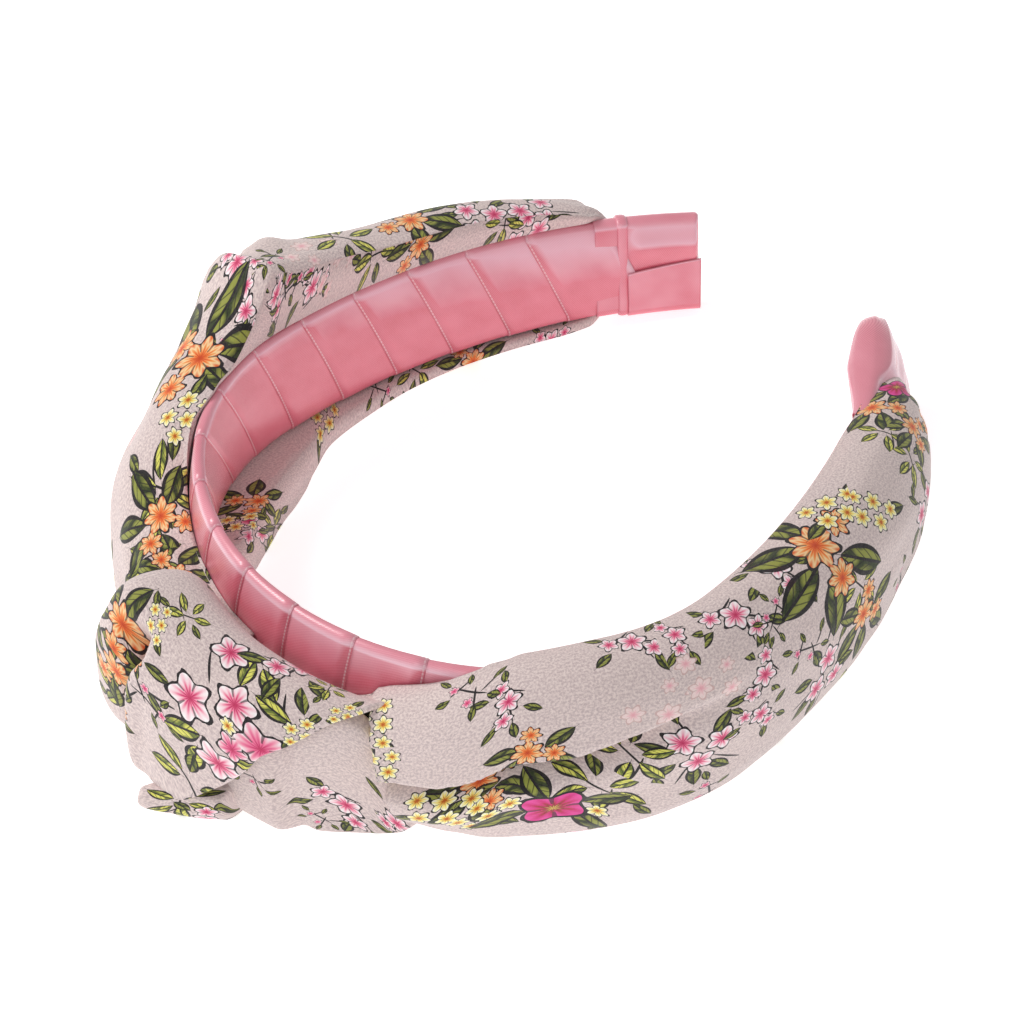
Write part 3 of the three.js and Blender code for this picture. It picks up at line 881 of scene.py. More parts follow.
def thin_strip(name, s, n, v, thick):
    """A closed strip from a grid of section points: rows along the band, columns along the strip's course."""
    inner_n, inner_v = push_out(n, v, -thick)
    n_all = np.concatenate([n, inner_n[:, ::-1]], axis=1)
    v_all = np.concatenate([v, inner_v[:, ::-1]], axis=1)
    s_all = np.concatenate([s, s[:, ::-1]], axis=1)
    return outward(loft(name, place(s_all, n_all, v_all), s[:, 0], girth(n_all, v_all)))


def build_tip_flap(material):
    """The end of the left tip's ribbon, folded up over the lower half of the tip."""
    s_line = -np.linspace(LEFT_TIP_MOUTH + 1.2, LEFT_TIP_END + 0.5, 40)
    t = np.linspace(0, 1, 80)[None, :]
    s = np.broadcast_to(s_line[:, None], (len(s_line), t.size))
    top_turn = 0.235 - 0.05 * (np.abs(s) - LEFT_TIP_MOUTH) / 17
    turn = mix(top_turn, 0.80, t)
    n, v = around_band(s, turn, -TIP_OUT - 0.4, 0.3, half_width(s) - TIP_INSET)
    flap = thin_strip("left_tip_flap", s, n, v, 0.35)
    finish_piece(flap, material, [])


def build_tip_binding(material):
    """The narrow turn of ribbon that covers the end of the left sleeve."""
    s_line = -np.linspace(LEFT_TIP_MOUTH - 1.0, LEFT_TIP_MOUTH + 1.3, 10)
    s, turn = np.meshgrid(s_line, np.arange(TIP_AROUND) / TIP_AROUND, indexing="ij")
    off_middle = np.abs(s) - np.abs(s_line).mean()
    round_off = 0.4 * np.sqrt(np.maximum(0, 1 - (off_middle / 1.25) ** 2))
    n, v = around_band(s, turn, -TIP_OUT - 0.1 - round_off, 2.6, half_width(s) - TIP_INSET)
    binding = outward(loft("left_tip_binding", place(s, n, v), s[:, 0], girth(n, v)))
    finish_piece(binding, material, [])


# ---- the crepe sleeves ---------------------------------------------------------------------------
# Rows: s, how far the sleeve stands out, its top, its bottom, and the n of its lips over the band's top edge
# and under its bottom edge.
LEFT_ROWS = (
    (-181.5, 4.8, 8, -8, 4.4, 4.4),
    (-178.5, 6.2, 9.5, -9.5, 4.4, 4.4),
    (-170, 10, 16, -13.5, -0.5, -0.8),
    (-150, 12.5, 20.5, -15.5, -0.8, -1.5),
    (-125, 16.5, 23, -17, -0.8, -2.5),
    (-112, 20.5, 26, -18, -0.4, -4),
    (-101, 23.2, 28.5, -19.5, 0, -5),
    (-92.5, 24.8, 31.5, -21.5, 0.5, -8),
    (-87, 22.6, 24.5, -23.5, 0.5, -9.5),
    (-79, 20.8, 18.5, -25.5, 0.5, -10.5),
    (-70, 20.6, 15.5, -26, 1.5, -10.5),
    (-58, 21.5, 12, -26, 4.6, -9),
    (-46, 21, 5, -26, 4.6, 0),
    (-36, 21, 3, -21, 4.6, 4.6),
    (-28, 19, 2, -16, 4.6, 4.6),
    (-9, 15, 1, -12, 4.6, 4.6),
)
RIGHT_ROWS = (
    (-7, 13, 1, -12, 4.6, 4.6),
    (12, 13, 1, -12, 4.6, 4.6),
    (22, 14.5, 6.5, -19, 4.6, 4.6),
    (32, 15.5, 11, -25, 4.6, 4.6),
    (40, 16, 15, -25.5, 3, 3),
    (50, 16.2, 18.8, -25, -0.8, -1),
    (66, 16.5, 20.5, -24.5, -1.2, -2),
    (90, 17, 19.8, -22.5, -1.2, -2),
    (125, 17.2, 18.6, -20, -1, -2),
    (150, 16.8, 16.6, -17.5, -0.6, -1.5),
    (170, 13.5, 13.6, -15, 2, -1),
    (182, 7.0, 10.2, -10, 4.4, 4.4),
    (189, 5.8, 9, -9, 4.4, 4.4),
)
LIP_ANGLE = 0.62 * math.pi  # how far round from straight outward the sleeve's lips are
LEAST_LIP = 1.6  # the thinnest that a sleeve gets over the band's edges
LIP_SHARE = 0.2  # of the way back: from a lip to the band's outer face
OUTSIDE_POINTS, BACK_POINTS = 96, 26


def sleeve_outside(s, rows):
    """The sleeve's section from its top lip (share 1), over its outside, to its bottom lip (share -1)."""
    out, top, bottom, lip_top, lip_bottom = [column[:, None] for column in read(rows, s)]
    share = np.linspace(1, -1, OUTSIDE_POINTS)[None, :]
    angle = LIP_ANGLE * share
    cos = np.cos(angle)
    edge = half_width(s)[:, None] + GAP
    top_at, bottom_at = np.minimum(edge, top - LEAST_LIP), np.maximum(-edge, bottom + LEAST_LIP)
    lip = np.where(share > 0, lip_top, lip_bottom)
    v = (top + bottom) / 2 + (top - bottom) / 2 * np.sin(angle)
    n = mix(BAND_MIDDLE, out, np.maximum(0, cos) ** 0.8)
    n = np.where(cos < 0, mix(BAND_MIDDLE, lip, cos / math.cos(LIP_ANGLE)), n)
    over, under = np.maximum(v, top_at + LEAST_LIP), np.minimum(v, bottom_at - LEAST_LIP)
    v = np.where(cos < 0, np.where(share > 0, over, under), v)
    return share, n, v, (top_at, bottom_at, lip_top, lip_bottom)


def sleeve_back(s, lips):
    """The way back under the cloth, from the bottom lip, along the band, to the top lip."""
    top_at, bottom_at, lip_top, lip_bottom = lips
    t = np.linspace(0, 1, BACK_POINTS + 2)[None, 1:-1]
    edge = half_width(s)[:, None]
    v = mix(bottom_at, top_at, np.clip((t - LIP_SHARE) / 0.6, 0, 1))
    against = band_outer(s[:, None], np.clip(v, -edge, edge)) + GAP
    n = np.where(t > 0.8, mix(lip_top, against, (1 - t) / LIP_SHARE), against)
    return np.where(t < LIP_SHARE, mix(lip_bottom, against, t / LIP_SHARE), n), v


def build_sleeve(name, rows, step, shape_cloth, material, node):
    s = np.arange(rows[0][0], rows[-1][0] + step / 2, step, dtype=float)
    share, n, v, lips = sleeve_outside(s, rows)
    n, v = shape_cloth(s[:, None], share, n, v)
    back_n, back_v = sleeve_back(s, lips)
    n, v = np.concatenate([n, back_n], axis=1), np.concatenate([v, back_v], axis=1)
    grid = place(s[:, None], n, v, soft=True)
    sleeve = outward(loft(name, grid, s, girth(n, v)))
    finish_piece(sleeve, material, [node])
    return sleeve


def away_from_lips(share):
    return smooth(1 - np.abs(share), 0.0, 0.12)


def gathers(s, w, mouth, fade, step, height):
    """Small pleats that run along the band and fade out away from where the cloth is gathered."""
    near = 1 - smooth(np.abs(s - mouth), 0, fade)
    wander = 0.8 * np.sin(s * 0.21 + w * 0.13) + 0.5 * np.sin(w * 0.9)
    return height * near * np.sin(2 * math.pi * w / step + wander)


# Creases in the sleeves' cloth: as creases() takes them.
LEFT_CREASES = (
    (-94, 9, -99, 34, 1.8, 1.8),
    (-101, 9, -106, 32, 3.5, -1.9),
    (-60, 12, -88, 40, 5.0, 0.9),
    (-120, 30, -146, 14, 4.0, -0.8),
    (-40, 10, -26, 14, 3.0, -1.0),
    (-52, 22, -24, 20, 4.0, 0.9),
    (-44, 44, -20, 34, 3.0, -1.0),
)
RIGHT_CREASES = (
    (100, 14, 150, 26, 4.5, -0.7),
    (60, 8, 110, 16, 6.0, 0.6),
    (132, 40, 164, 30, 4.0, 0.8),
)


# Rows: s, how far below the top lip the upper part's edge is, and how deep the groove under it is.
TUCK_ROWS = (
    (14, 20, 0),
    (25, 21.5, 5.5),
    (42, 25, 7.5),
    (56, 26, 7.5),
    (66, 24.5, 4.5),
    (80, 22, 1.5),
    (96, 20, 0),
)
TUCK_DEEPEST = 7.5
# Parts of the tuck: how far below its edge each one's middle is, and its width.
TUCK_VALLEY, TUCK_EDGE, TUCK_ROLL = (2.9, 1.9), (-0.8, 1.6), (10, 5.0)
FOLD_EDGE, FOLD_SLANT = 21.2, 0.19  # the s of the right sleeve's folded start, and its lean
FOLD_DEPTH = 6.2  # the n that the cloth left of it is drawn in to


def shape_left(s, share, n, v):
    w = girth(n, v)[:, :-1]
    s = np.broadcast_to(s, n.shape)
    lift = 0.7 * rumple(s, w, 3.1, 30, 12) + creases(s, w, LEFT_CREASES)
    lift = lift + gathers(s, w, -178, 20, 4.6, 0.55) + gathers(s, w, -28, 16, 6.5, 0.5)
    return push_out(n, v, -lift * away_from_lips(share))


def shape_right(s, share, n, v):
    w = girth(n, v)[:, :-1]
    s = np.broadcast_to(s, n.shape)
    lift = 0.6 * rumple(s, w, 8.4, 34, 12) + creases(s, w, RIGHT_CREASES)
    lift = lift + gathers(s, w, 181, 22, 6.2, 0.3)
    n, v = push_out(n, v, -lift * away_from_lips(share))
    n, v = tuck(s, w, n, v)
    return first_fold(s, w, n, v)


def tuck(s, w, n, v):
    """The deep fold in the right sleeve: the upper part hangs over a groove, with a roll below it."""
    edge_at, depth = [column[:, None] for column in read(TUCK_ROWS, s[:, 0])]
    below = w - edge_at
    valley, edge, roll = [hump(below, *part) for part in (TUCK_VALLEY, TUCK_EDGE, TUCK_ROLL)]
    share = depth / TUCK_DEEPEST
    n = n + depth * -0.95 * valley + share * (0.9 * edge + 1.6 * roll)
    v = v + share * (2.8 * valley - 1.3 * edge + 1.0 * roll)
    return n, v


def first_fold(s, w, n, v):
    """The right sleeve's slanting folded start: left of it, the cloth is drawn in under the knot."""
    start = FOLD_EDGE + FOLD_SLANT * w
    inside = 1 - smooth(s - start, -1.1, 0.5)
    hem = hump(s - start, 1.0, 1.3)
    middle_v = -3 - 0.25 * w
    n = mix(n, np.minimum(n, FOLD_DEPTH + 0.2 * (n - FOLD_DEPTH)), inside) + 0.5 * hem
    return n, mix(v, middle_v + (v - middle_v) * 0.75, inside)


# ---- the knot ------------------------------------------------------------------------------------
# Rows: s, how far the knot stands out, its top and its bottom.
KNOT_ROWS = (
    (-34, 28.5, 8, -22),
    (-20, 32, 14.5, -24),
    (-8, 32.3, 12.5, -26.5),
    (4, 28, 10.5, -22),
    (14, 22, 8.5, -16),
    (22, 17.2, 7.5, -12),
    (28, 13.5, 8, -8),
)
# Rows: degrees round the knot, 0 straight outward and 90 up, and the s where its cloth ends on the right.
HEM_ROWS = (
    (-180, -8),
    (-75, -9),
    (-50, -6),
    (-30, 0),
    (-8, 6),
    (17, 13.5),
    (53, 18.5),
    (90, 23.5),
    (125, 27),
    (150, 18),
    (180, -8),
)
KNOT_BACK = BAND_MIDDLE + 0.7 + 2 * GAP  # the n of the wrap's back, clear of the band and the glue
WRAP_AROUND, WRAP_ALONG = 168, 84  # points round the wrap and along it
WRAP_WALL = 1.3
WRAP_START_LOW, WRAP_START_HIGH = -30, -26  # the s where the wrap starts on the left
ROLL_LENGTH, ROLL_OUTER, ROLL_INNER = 8, 4.4, 4.0  # the rolled left edge: its length and how far it turns in
HEM_LENGTH, HEM_DEPTH = 0.9, 0.6  # the rounding of the right edge
PLEAT_AT, PLEAT_SLANT = -13.5, 0.02  # the s of the pleat down the knot's left side, and its lean
PLEAT_HOLE = 43  # degrees round the knot of the hole at the pleat's top


def squared(c, power):
    return np.sign(c) * np.abs(c) ** power


def hump_over(x, y):
    """A smooth bump over two measures, each (how far off its middle, width)."""
    return np.exp(-((x[0] / x[1]) ** 2) - (y[0] / y[1]) ** 2)


def rounding(distance, reach):
    """1 at an edge of the cloth, falling on a quarter circle to 0 at reach from it."""
    return 1 - np.sqrt(np.clip(1 - (1 - np.clip(distance / reach, 0, 1)) ** 2, 0, 1))


def knot_pleat(s, degrees):
    """How far the knot's skin stands out: a strip on the left sinks under the main panel's edge."""
    off = s - (PLEAT_AT + PLEAT_SLANT * (degrees - 20))
    along = smooth(degrees, -75, -45) * (1 - smooth(degrees, 48, 66))
    sunk = np.where(off < 0, hump(off, 0, 4.5), 1 - smooth(off, 0, 0.9))
    hole = hump_over((degrees - PLEAT_HOLE, 13), (off + 1.2, 2.3))
    lip, crevice = hump(off, 1.9, 1.7), hump(off, -0.8, 1.0)
    return along * (1.1 * lip - 2.2 * sunk - 1.8 * crevice) - 8.0 * hole


def knot_swell(s, degrees):
    """The soft hollows and swells of the knot's panel."""
    lobe = hump_over((s + 20, 8), (degrees - 78, 34))
    hollow = hump_over((s + 7 - 0.1 * degrees, 5), (degrees - 62, 30))
    flare = hump_over((s + 4, 9), (degrees + 38, 16))
    return 1.2 * lobe - 1.5 * hollow + 1.3 * flare


def build_wrap(material):
    """The broad turn of cloth round the crossing: wide in front, narrow behind."""
    angle = np.linspace(math.pi, -math.pi, WRAP_AROUND, endpoint=False)[:, None]
    front, rise = np.cos(angle), np.sin(angle)
    start = mix(WRAP_START_LOW, WRAP_START_HIGH, smooth(rise, 0, 0.7)) + 4 * np.minimum(0, front) * (rise < 0)
    finish = read(HEM_ROWS, np.degrees(angle[:, 0])).reshape(-1, 1)
    s = mix(start, finish, np.linspace(0, 1, WRAP_ALONG)[None, :])
    out, top, bottom = [column.reshape(s.shape) for column in read(KNOT_ROWS, s.ravel())]
    rolled, hem = rounding(s - start, ROLL_LENGTH), rounding(finish - s, HEM_LENGTH)
    power = mix(0.55, 0.8, smooth(rise, -0.3, 0.3))

    def skin(deep):
        n = (KNOT_BACK + out) / 2 + ((out - KNOT_BACK) / 2 - deep) * squared(front, power)
        v = (top + bottom) / 2 + ((top - bottom) / 2 - deep) * squared(rise, power)
        return n, v

    n0, v0 = skin(0)
    step = np.hypot(np.diff(n0, axis=0), np.diff(v0, axis=0))
    w = np.concatenate([np.zeros((1, WRAP_ALONG)), np.cumsum(step, axis=0)])
    degrees = np.degrees(np.broadcast_to(angle, s.shape))
    lift = 0.45 * rumple(s, w, 5.7, 24, 14) + knot_pleat(s, degrees) + knot_swell(s, degrees)
    lift = (lift + 0.35 * hump(finish - s, 0, 1.2)) * smooth(front, -0.35, 0.15)
    n, v = skin(ROLL_OUTER * rolled + HEM_DEPTH * hem - lift)
    inner_n, inner_v = skin(WRAP_WALL + ROLL_INNER * rolled - lift)
    n = np.concatenate([n, inner_n[:, ::-1]], axis=1)
    v = np.concatenate([v, inner_v[:, ::-1]], axis=1)
    s_all = np.concatenate([s, s[:, ::-1]], axis=1)
    u = np.concatenate([s_all, s_all[:, :1]], axis=1)
    w = np.concatenate([w, w[:, ::-1], w[:, :1]], axis=1)
    grid = place(s_all, n, v, soft=True)
    grid = np.concatenate([grid, grid[:1]])
    u = np.concatenate([u, u[:1]])
    w = np.concatenate([w, 2 * w[-1:] - w[-2:-1]])
    wrap = loft("knot_wrap_cloth", grid, u, w, False)
    weld(wrap)
    finish_piece(outward(wrap), material, ["knot_wrap"])
    return wrap


def weld(obj):
    """Joins points that lie on each other."""
    work = bmesh.new()
    work.from_mesh(obj.data)
    bmesh.ops.remove_doubles(work, verts=work.verts, dist=1e-6)
    work.to_mesh(obj.data)
    work.free()


def round_angles(count):
    """Angles once round a section, from straight up and outward first."""
    return np.linspace(math.pi / 2, -3 * math.pi / 2, count, endpoint=False)[None, :]


def pillow(n0, n1, v0, v1, count, power):
    """A closed section with rounded corners between two n and two v."""
    angle = round_angles(count)
    n = (n0 + n1) / 2 + (n1 - n0) / 2 * squared(np.cos(angle), power)
    v = (v0 + v1) / 2 + (v1 - v0) / 2 * squared(np.sin(angle), power)
    return n, v


# Rows: s, how far out the fold's face is, its top and its bottom.
FOLD_ROWS = (
    (-5, 20, -6, -26),
    (3, 22, -3, -26.6),
    (9, 21.2, 0, -27.6),
    (13, 19.6, 2.5, -28.2),
    (18, 16.6, 4.8, -28.2),
    (23, 14.0, 2.0, -27.6),
    (28, 12.4, -5, -26),
    (32, 10.4, -9, -23),
)
FOLD_INSIDE = 8.0  # the n of the fold's hidden back
FOLD_START, FOLD_END = -5, 32
FOLD_POINTS = 96  # along the fold, and round it
RIDGE_AT, RIDGE_SLANT = 11.5, 0.12  # the s of the fold's ridge, and how it moves down the cloth
# The tail's two ends: s, n and radius; the v of the table under it; and the points along it and round it.
TAIL_START, TAIL_END = (-9.4, 33.2, 3.2), (2.6, 21.0, 4.8)
TAIL_FLOOR = -28.9
TAIL_ALONG, TAIL_AROUND = 60, 64


def build_lower_fold(material):
    """The flat fold that comes out from under the wrap, below the start of the right sleeve."""
    s = np.linspace(FOLD_START, FOLD_END, FOLD_POINTS)
    column = s[:, None]
    out, top, bottom = [c[:, None] for c in read(FOLD_ROWS, s)]
    n, v = pillow(np.minimum(FOLD_INSIDE, out - 2.5), out, bottom, top, FOLD_POINTS, 0.5)
    w = girth(n, v)[:, :-1]
    s_all = np.broadcast_to(column, n.shape)
    off_ridge = s_all - RIDGE_AT + RIDGE_SLANT * (v + 15)
    left_of_ridge = 1 - smooth(off_ridge, -3.5, -0.4)
    lift = 0.3 * rumple(s_all, w, 2.2, 16, 12) + 0.9 * hump(off_ridge, 0, 1.5) - 1.7 * left_of_ridge
    n, v = push_out(n, v, -lift * smooth(n, FOLD_INSIDE, FOLD_INSIDE + 3))
    close = 1 - 0.5 * (1 - smooth(column, FOLD_START, -1)) - 0.6 * smooth(column, 30, FOLD_END)
    middle = n.mean(1, keepdims=True)
    n = middle + (n - middle) * close
    fold = outward(loft("knot_lower_fold_cloth", place(s_all, n, v, soft=True), s, girth(n, v)))
    finish_piece(fold, material, ["knot_lower_fold"])
    return fold


def build_tail(material):
    """The rolled end of the cloth, lying on the table under the front of the knot."""
    t = np.linspace(0, 1, TAIL_ALONG)[:, None]
    s, middle_n, _ = [mix(a, b, t) for a, b in zip(TAIL_START, TAIL_END)]
    angle = round_angles(TAIL_AROUND)
    close = np.sqrt(np.clip(1 - (1 - np.clip(t / 0.13, 0, 1)) ** 2, 0.12, 1))
    close = close * np.sqrt(np.clip(1 - np.clip((t - 0.95) / 0.05, 0, 1) ** 2, 0.1, 1))
    radius = mix(TAIL_START[2], TAIL_END[2], smooth(t, 0.1, 0.8))
    n = middle_n + (radius + 0.5) * close * np.cos(angle)
    v = TAIL_FLOOR + radius + radius * close * np.sin(angle)
    w = girth(n, v)[:, :-1]
    s_all = np.broadcast_to(s, n.shape)
    groove = hump(np.degrees(angle) - 62 + 30 * t, 0, 16)
    lift = 0.3 * rumple(s_all, w, 6.6, 9, 6) - 0.8 * groove * close
    n, v = push_out(n, v, -lift)
    tail = outward(loft("knot_tail_cloth", place(s_all, n, v, soft=True), s[:, 0], girth(n, v)))
    finish_piece(tail, material, ["knot_tail"])
    return tail


# ---- where the bouquets lie ----------------------------------------------------------------------
# {bouquet: [(u, w, angle, size)]} in the flat cloth's millimetres.
LEFT_PRINT = {
    "pink_bouquet": [
        (-147, 2, 20, 0.85), (-159, 1, 200, 0.85), (-162, 30, 60, 1.0), (-106, 44, 10, 1.0),
        (-56, 40, 120, 1.0), (-22, 30, 40, 1.0), (-63, 82, 70, 0.8), (-158, 88, 60, 0.8),
    ],
    "pink_spray": [
        (-91, 10, 60, 1.1), (-86, 3, 100, 1.0), (-161, 50, 0, 0.9), (-122, 58, 30, 1.1),
        (-76, 62, 150, 1.1), (-40, 66, 80, 1.1), (-103, 132, 40, 1.2), (-93, 147, 80, 1.1),
    ],
    "bud_twig": [
        (-96, 5, 130, 0.8), (-79, 2, 40, 1.0), (-150, 42, 80, 1.0), (-92, 78, 20, 1.0),
        (-34, 48, 10, 1.0), (-97, 140, 20, 1.0), (-118, 74, 60, 0.9),
    ],
    "faint_roses": [
        (-106, 5, 0, 1.2), (-140, 22, 60, 1.2), (-64, 24, 100, 1.2), (-110, 126, 40, 1.1),
    ],
    "lime_leaves": [
        (-115, 6, 30, 1.1), (-49, 6, 100, 1.1), (-36, 11, 60, 0.9), (-128, 68, 60, 0.9),
        (-172, 14, 20, 0.7), (-88, 30, 120, 1.0), (-70, 79, 120, 0.9), (-120, 114, 20, 0.9),
        (-152, 94, 80, 0.8),
    ],
    "rose_bouquet": [
        (-132, 7, 80, 1.1), (-76, 9, 100, 1.45), (-43, 8, 20, 1.1), (-141, 60, 60, 0.9),
        (-100, 62, 200, 1.2), (-58, 60, 40, 1.2), (-70, 90, 60, 0.8), (-31, 8, 160, 0.9),
        (-131, 105, 60, 0.9),
    ],
    "daisy_cluster": [
        (-63, 3, 30, 1.3), (-121, 24, 0, 1.2), (-62, 87, 60, 1.1), (-44, 32, 80, 1.2),
        (-103, 91, 20, 1.2),
    ],
    "poppy_bouquet": [(-137, 40, 60, 1.0), (-84, 47, 20, 1.0), (-26, 16, 0, 0.9)],
}
RIGHT_PRINT = {
    "pink_bouquet": [
        (76, 33, 60, 0.9), (106, 36, 120, 0.9), (150, 30, 40, 0.9), (60, 70, 80, 1.0),
        (100, 60, 10, 1.0),
    ],
    "pink_spray": [
        (47, 12, 60, 0.9), (70, 4, 0, 1.15), (78, 6, 60, 0.9), (90, 9, 20, 1.3), (105, 7, 60, 1.3),
        (90, 23, 100, 1.0), (88, 31, 20, 0.9), (133, 52, 70, 1.1),
    ],
    "bud_twig": [
        (40, 5, 20, 0.9), (97, 14, 130, 0.8), (101, 25, 10, 0.9), (138, 38, 60, 1.0),
        (80, 48, 60, 1.0),
    ],
    "faint_roses": [(72, 19, 0, 1.2), (80, 17, 60, 1.2)],
    "lime_leaves": [
        (66, 34, 30, 1.0), (61, 44, 10, 1.1), (154, 9, 70, 0.8), (152, 17, 110, 0.8),
        (119, 24, 40, 0.9), (116, 52, 60, 1.0),
    ],
    "rose_bouquet": [
        (115, 12, 80, 1.6), (120, 32, 20, 1.0), (43, 40, 60, 0.95), (51, 24, 0, 0.75),
        (163, 4, 60, 0.95), (161, 14, 100, 0.85), (90, 68, 100, 1.1), (170, 18, 20, 0.8),
    ],
    "daisy_cluster": [
        (24, 10, 80, 1.15), (26, 20, 100, 1.1), (36, 42, 20, 1.4), (42, 49, 70, 1.3),
        (126, 8, 30, 1.5), (132, 15, 60, 1.4), (36, 66, 10, 1.2),
    ],
    "poppy_bouquet": [(54, 51, 20, 1.3), (172, 5, 60, 0.85), (120, 68, 60, 0.9)],
}
WRAP_PRINT = {
    "knot_cluster": [(2, 32, 0, 1.05)],
    "pink_bouquet": [(2, 75, 60, 1.0)],
    "pink_spray": [(8, 13, 70, 1.5), (-22, 8, 40, 1.1)],
    "bud_twig": [(-8, 43, 170, 0.8), (10, 58, 10, 0.9)],
    "lime_leaves": [(15, 16, 60, 0.5), (-17, 54, 100, 0.8), (-1, 52, 20, 0.9), (-11, 25, 110, 0.6)],
    "rose_bouquet": [(-18, 40, 80, 1.0), (-18, 49, 120, 0.85), (0, 95, 0, 0.9)],
    "daisy_cluster": [(-13, 31, 60, 0.7), (15, 28, 140, 0.8), (20, 21, 140, 0.7)],
}
FOLD_PRINT = {
    "pink_spray": [(20, 24, 30, 1.1), (28, 18, 80, 0.9), (8, 50, 0, 1.0)],
    "bud_twig": [(6, 18, 0, 0.6), (16, 29, 40, 0.6)],
}
TAIL_PRINT = {
    "lime_leaves": [(-3, 6, 70, 0.75)],
    "pink_spray": [(0, 12, 90, 0.9), (0, 28, 20, 0.9)],
}


# ---- the stage -----------------------------------------------------------------------------------
# The camera, in the band's own plane: radians up and round, and millimetres.
LOOK_ELEVATION, LOOK_AZIMUTH = 0.734, 0.756
LOOK_FIT = 62 / 64
LOOK_AT = (-0.431 * LOOK_FIT, 7.981 * LOOK_FIT, 12 * LOOK_FIT - 14.6)
LOOK_DISTANCE = 855.57 * LOOK_FIT
LENS, SENSOR = 138.6, 36
FLOOR_HALF = 4  # metres
FLOOR_GLOW = 0.62
FILL_SHARE = 0.3  # of the main light's power


def build_camera():
    e, a = LOOK_ELEVATION, LOOK_AZIMUTH
    back = np.array([math.sin(a) * math.cos(e), -math.cos(a) * math.cos(e), math.sin(e)])
    right = np.array([math.cos(a), math.sin(a), 0])
    up = np.array([-math.sin(a) * math.sin(e), math.cos(a) * math.sin(e), math.cos(e)])
    centre = LAY_DOWN @ (np.array(LOOK_AT) + back * LOOK_DISTANCE) + SHIFT
    axes = LAY_DOWN @ np.stack([right, up, back], axis=1)
    camera = bpy.data.objects.new("camera", bpy.data.cameras.new("camera"))
    bpy.context.scene.collection.objects.link(camera)
    camera.matrix_world = Matrix.Translation(Vector(centre * MM)) @ Matrix(axes.tolist()).to_4x4()
    camera.data.lens = LENS
    camera.data.sensor_width = SENSOR
    camera.data.clip_start, camera.data.clip_end = 0.01, 20
    camera.data.dof.use_dof = False
    bpy.context.scene.camera = camera


def area_light(name, place_at, target, size, power, colour):
    data = bpy.data.lights.new(name, "AREA")
    data.shape, data.size, data.energy, data.color = "DISK", size, power, colour
    light = bpy.data.objects.new(name, data)
    bpy.context.scene.collection.objects.link(light)
    light.location = place_at
    light.rotation_euler = (Vector(target) - Vector(place_at)).to_track_quat("-Z", "Y").to_euler()


def build_floor(colour, glow):
    corners = [(x * FLOOR_HALF, y * FLOOR_HALF, 0) for x, y in ((-1, -1), (1, -1), (1, 1), (-1, 1))]
    floor = mesh_object("floor", corners, [(0, 1, 2, 3)])
    material, tree, shader = new_material("pale paper")
    fibre = put(tree, "TexNoise", {"Scale": 900.0, "Detail": 3.0}).outputs[0]
    paper = blend_colour(tree, fibre, tuple(c * 0.97 for c in colour), tuple(colour))
    glowing = {"Emission Color": (1, 1, 1, 1), "Emission Strength": glow}
    fill(tree, shader, {"Base Color": paper, "Roughness": 0.9, **glowing})
    floor.data.materials.append(material)


def build_world(strength):
    world = bpy.data.worlds.new("studio")
    world.use_nodes = True
    back = world.node_tree.nodes["Background"]
    back.inputs[0].default_value = (1, 1, 1, 1)
    back.inputs[1].default_value = strength
    bpy.context.scene.world = world


# ---- settings, operators and panel ---------------------------------------------------------------


def colour_setting(name, description, default):
    return FloatVectorProperty(
        name=name, description=description, default=default, subtype="COLOR", min=0, max=1
    )


class HeadbandRibbonSizes(PropertyGroup):
    """Sizes of the wound ribbon."""

    ribbon_width: FloatProperty(
        name="Ribbon Width",
        description="Width of the satin ribbon wound round the band",
        default=0.02,
        min=0.011,
        max=0.03,
        unit="LENGTH",
    )
    ribbon_pitch: FloatProperty(
        name="Ribbon Pitch",
        description="How far along the band each turn of ribbon moves",
        default=0.0143,
        min=0.008,
        max=0.025,
        unit="LENGTH",
    )
    ribbon_thickness: FloatProperty(
        name="Ribbon Thickness",
        description="Thickness of the satin ribbon",
        default=0.0002,
        min=0.0001,
        max=0.0003,
        unit="LENGTH",
    )


class HeadbandColours(PropertyGroup):
    """Colours of the ribbon, its painted highlight, and the crepe's ground."""

    satin_light: colour_setting(
        "Satin Light", "Colour of the ribbon where its floats are brightest", (0.80, 0.21, 0.28)
    )
    # The pale colour painted on the ribbon as a highlight where its face leans upward.
    satin_painted_highlight: colour_setting(
        "Satin Shine", "Colour of the ribbon where it leans toward the light", (0.96, 0.66, 0.76)
    )
    satin_dark: colour_setting("Satin Dark", "Colour of the ribbon where it is deepest", (0.72, 0.15, 0.21))
    selvedge: colour_setting(
        "Selvedge", "Colour of the stitched line along the ribbon's edges", (0.95, 0.62, 0.66)
    )
    crepe_light: colour_setting("Crepe Light", "Colour of the crepe's raised threads", (0.80, 0.68, 0.65))
    crepe_dark: colour_setting("Crepe Dark", "Colour between the crepe's threads", (0.50, 0.40, 0.41))


class HeadbandStage(PropertyGroup):
    """The floor and the lights."""

    floor_colour: colour_setting("Floor Colour", "Colour of the floor", (0.93, 0.93, 0.93))
    room_light: FloatProperty(
        name="Room Light",
        description="Strength of the even light from all round",
        default=0.42,
        min=0,
        max=5,
    )
    key_power: FloatProperty(
        name="Key Light",
        description="Power of the main light",
        default=5.0,
        min=0,
        max=200,
        unit="POWER",
    )


def shared_satin(colours):
    return bpy.data.materials.get("folded satin") or satin_material("folded satin", colours, False)


class HEADBAND_OT_core(Operator):
    """Makes the plastic band that stiffens the headband, and finishes the glue beads"""

    bl_idname = "headband.core"
    bl_label = "Plastic Band"

    def execute(self, context):
        build_core()
        glue = glue_material("set glue")
        for node in ("left_sleeve_glue", "right_sleeve_glue", "knot_glue"):
            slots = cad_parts[node].data.materials
            slots.clear()
            slots.append(glue)
        return {"FINISHED"}


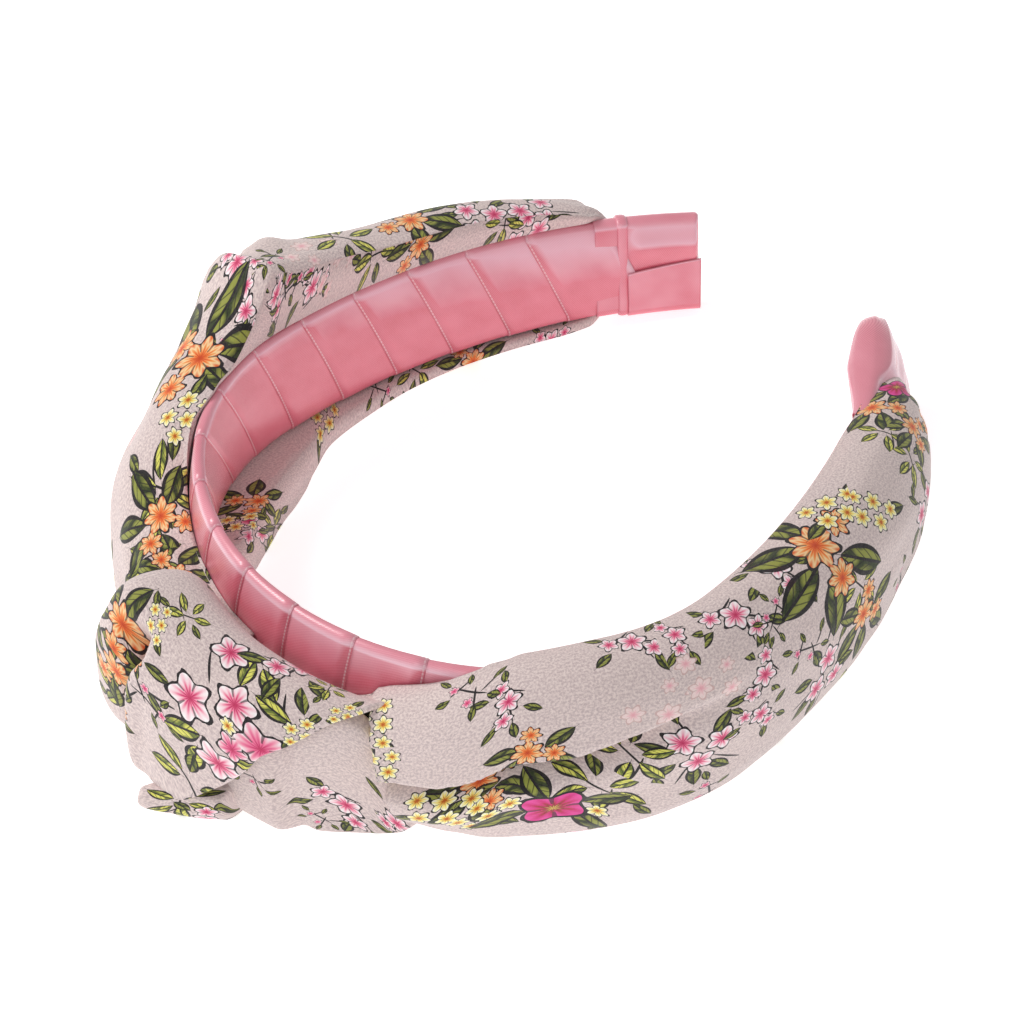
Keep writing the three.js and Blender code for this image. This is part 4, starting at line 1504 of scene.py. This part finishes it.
class HEADBAND_OT_ribbon(Operator):
    """Winds the satin ribbon round the band"""

    bl_idname = "headband.ribbon"
    bl_label = "Wound Ribbon"

    def execute(self, context):
        build_ribbon(context.scene.headband_sizes, context.scene.headband_colours)
        return {"FINISHED"}


class HEADBAND_OT_tips(Operator):
    """Folds ribbon over both tips"""

    bl_idname = "headband.tips"
    bl_label = "Tip Ribbons"

    def execute(self, context):
        colours = context.scene.headband_colours
        satin = shared_satin(colours)
        build_left_tip(satin)
        build_right_tip(satin)
        build_tip_flap(satin)
        build_tip_binding(satin)
        return {"FINISHED"}


class HEADBAND_OT_sleeves(Operator):
    """Lays the printed crepe sleeves along both arms"""

    bl_idname = "headband.sleeves"
    bl_label = "Crepe Sleeves"

    def execute(self, context):
        colours = context.scene.headband_colours
        left = crepe_material("left arm crepe", LEFT_PRINT, colours)
        right = crepe_material("right arm crepe", RIGHT_PRINT, colours)
        build_sleeve("left_arm_cloth", LEFT_ROWS, 1.0, shape_left, left, "left_sleeve")
        build_sleeve("right_arm_cloth", RIGHT_ROWS, 1.0, shape_right, right, "right_sleeve")
        return {"FINISHED"}


class HEADBAND_OT_knot(Operator):
    """Ties the knot: its wrap, the fold below it and the rolled tail"""

    bl_idname = "headband.knot"
    bl_label = "Knot"

    def execute(self, context):
        colours = context.scene.headband_colours
        build_wrap(crepe_material("knot crepe", WRAP_PRINT, colours))
        build_lower_fold(crepe_material("fold crepe", FOLD_PRINT, colours))
        build_tail(crepe_material("tail crepe", TAIL_PRINT, colours))
        return {"FINISHED"}


class HEADBAND_OT_stage(Operator):
    """Sets the floor, the lights and the camera"""

    bl_idname = "headband.stage"
    bl_label = "Stage"

    def execute(self, context):
        stage = context.scene.headband_stage
        build_floor(stage.floor_colour, FLOOR_GLOW)
        build_world(stage.room_light)
        area_light("key", (-0.55, -0.25, 0.75), (0, 0, 0.02), 0.45, stage.key_power, (1.0, 0.98, 0.96))
        fill_power = stage.key_power * FILL_SHARE
        area_light("fill", (0.5, -0.6, 0.6), (0, 0, 0.02), 0.7, fill_power, (0.97, 0.98, 1.0))
        build_camera()
        context.scene.view_settings.view_transform = "Standard"
        return {"FINISHED"}


STEPS = (
    HEADBAND_OT_core,
    HEADBAND_OT_ribbon,
    HEADBAND_OT_tips,
    HEADBAND_OT_sleeves,
    HEADBAND_OT_knot,
    HEADBAND_OT_stage,
)


class HEADBAND_PT_panel(Panel):
    """Lists the headband's pieces in the order in which they are made"""

    bl_label = "Knotted Headband"
    bl_idname = "HEADBAND_PT_panel"
    bl_space_type = "VIEW_3D"
    bl_region_type = "UI"
    bl_category = "Headband"

    def draw(self, context):
        for group in ("headband_sizes", "headband_colours", "headband_stage"):
            settings = getattr(context.scene, group)
            box = self.layout.box()
            for name in type(settings).__annotations__:
                box.prop(settings, name)
        for step in STEPS:
            self.layout.operator(step.bl_idname)


SETTINGS = {
    "headband_sizes": HeadbandRibbonSizes,
    "headband_colours": HeadbandColours,
    "headband_stage": HeadbandStage,
}


def register():
    for kind in (*SETTINGS.values(), *STEPS, HEADBAND_PT_panel):
        bpy.utils.register_class(kind)
    for name, kind in SETTINGS.items():
        setattr(bpy.types.Scene, name, PointerProperty(type=kind))


def unregister():
    for name in SETTINGS:
        delattr(bpy.types.Scene, name)
    for kind in reversed((*SETTINGS.values(), *STEPS, HEADBAND_PT_panel)):
        bpy.utils.unregister_class(kind)


def main():
    register()
    bpy.ops.headband.core()
    bpy.ops.headband.ribbon()
    bpy.ops.headband.tips()
    bpy.ops.headband.sleeves()
    bpy.ops.headband.knot()
    bpy.ops.headband.stage()


if __name__ == "__main__":
    main()
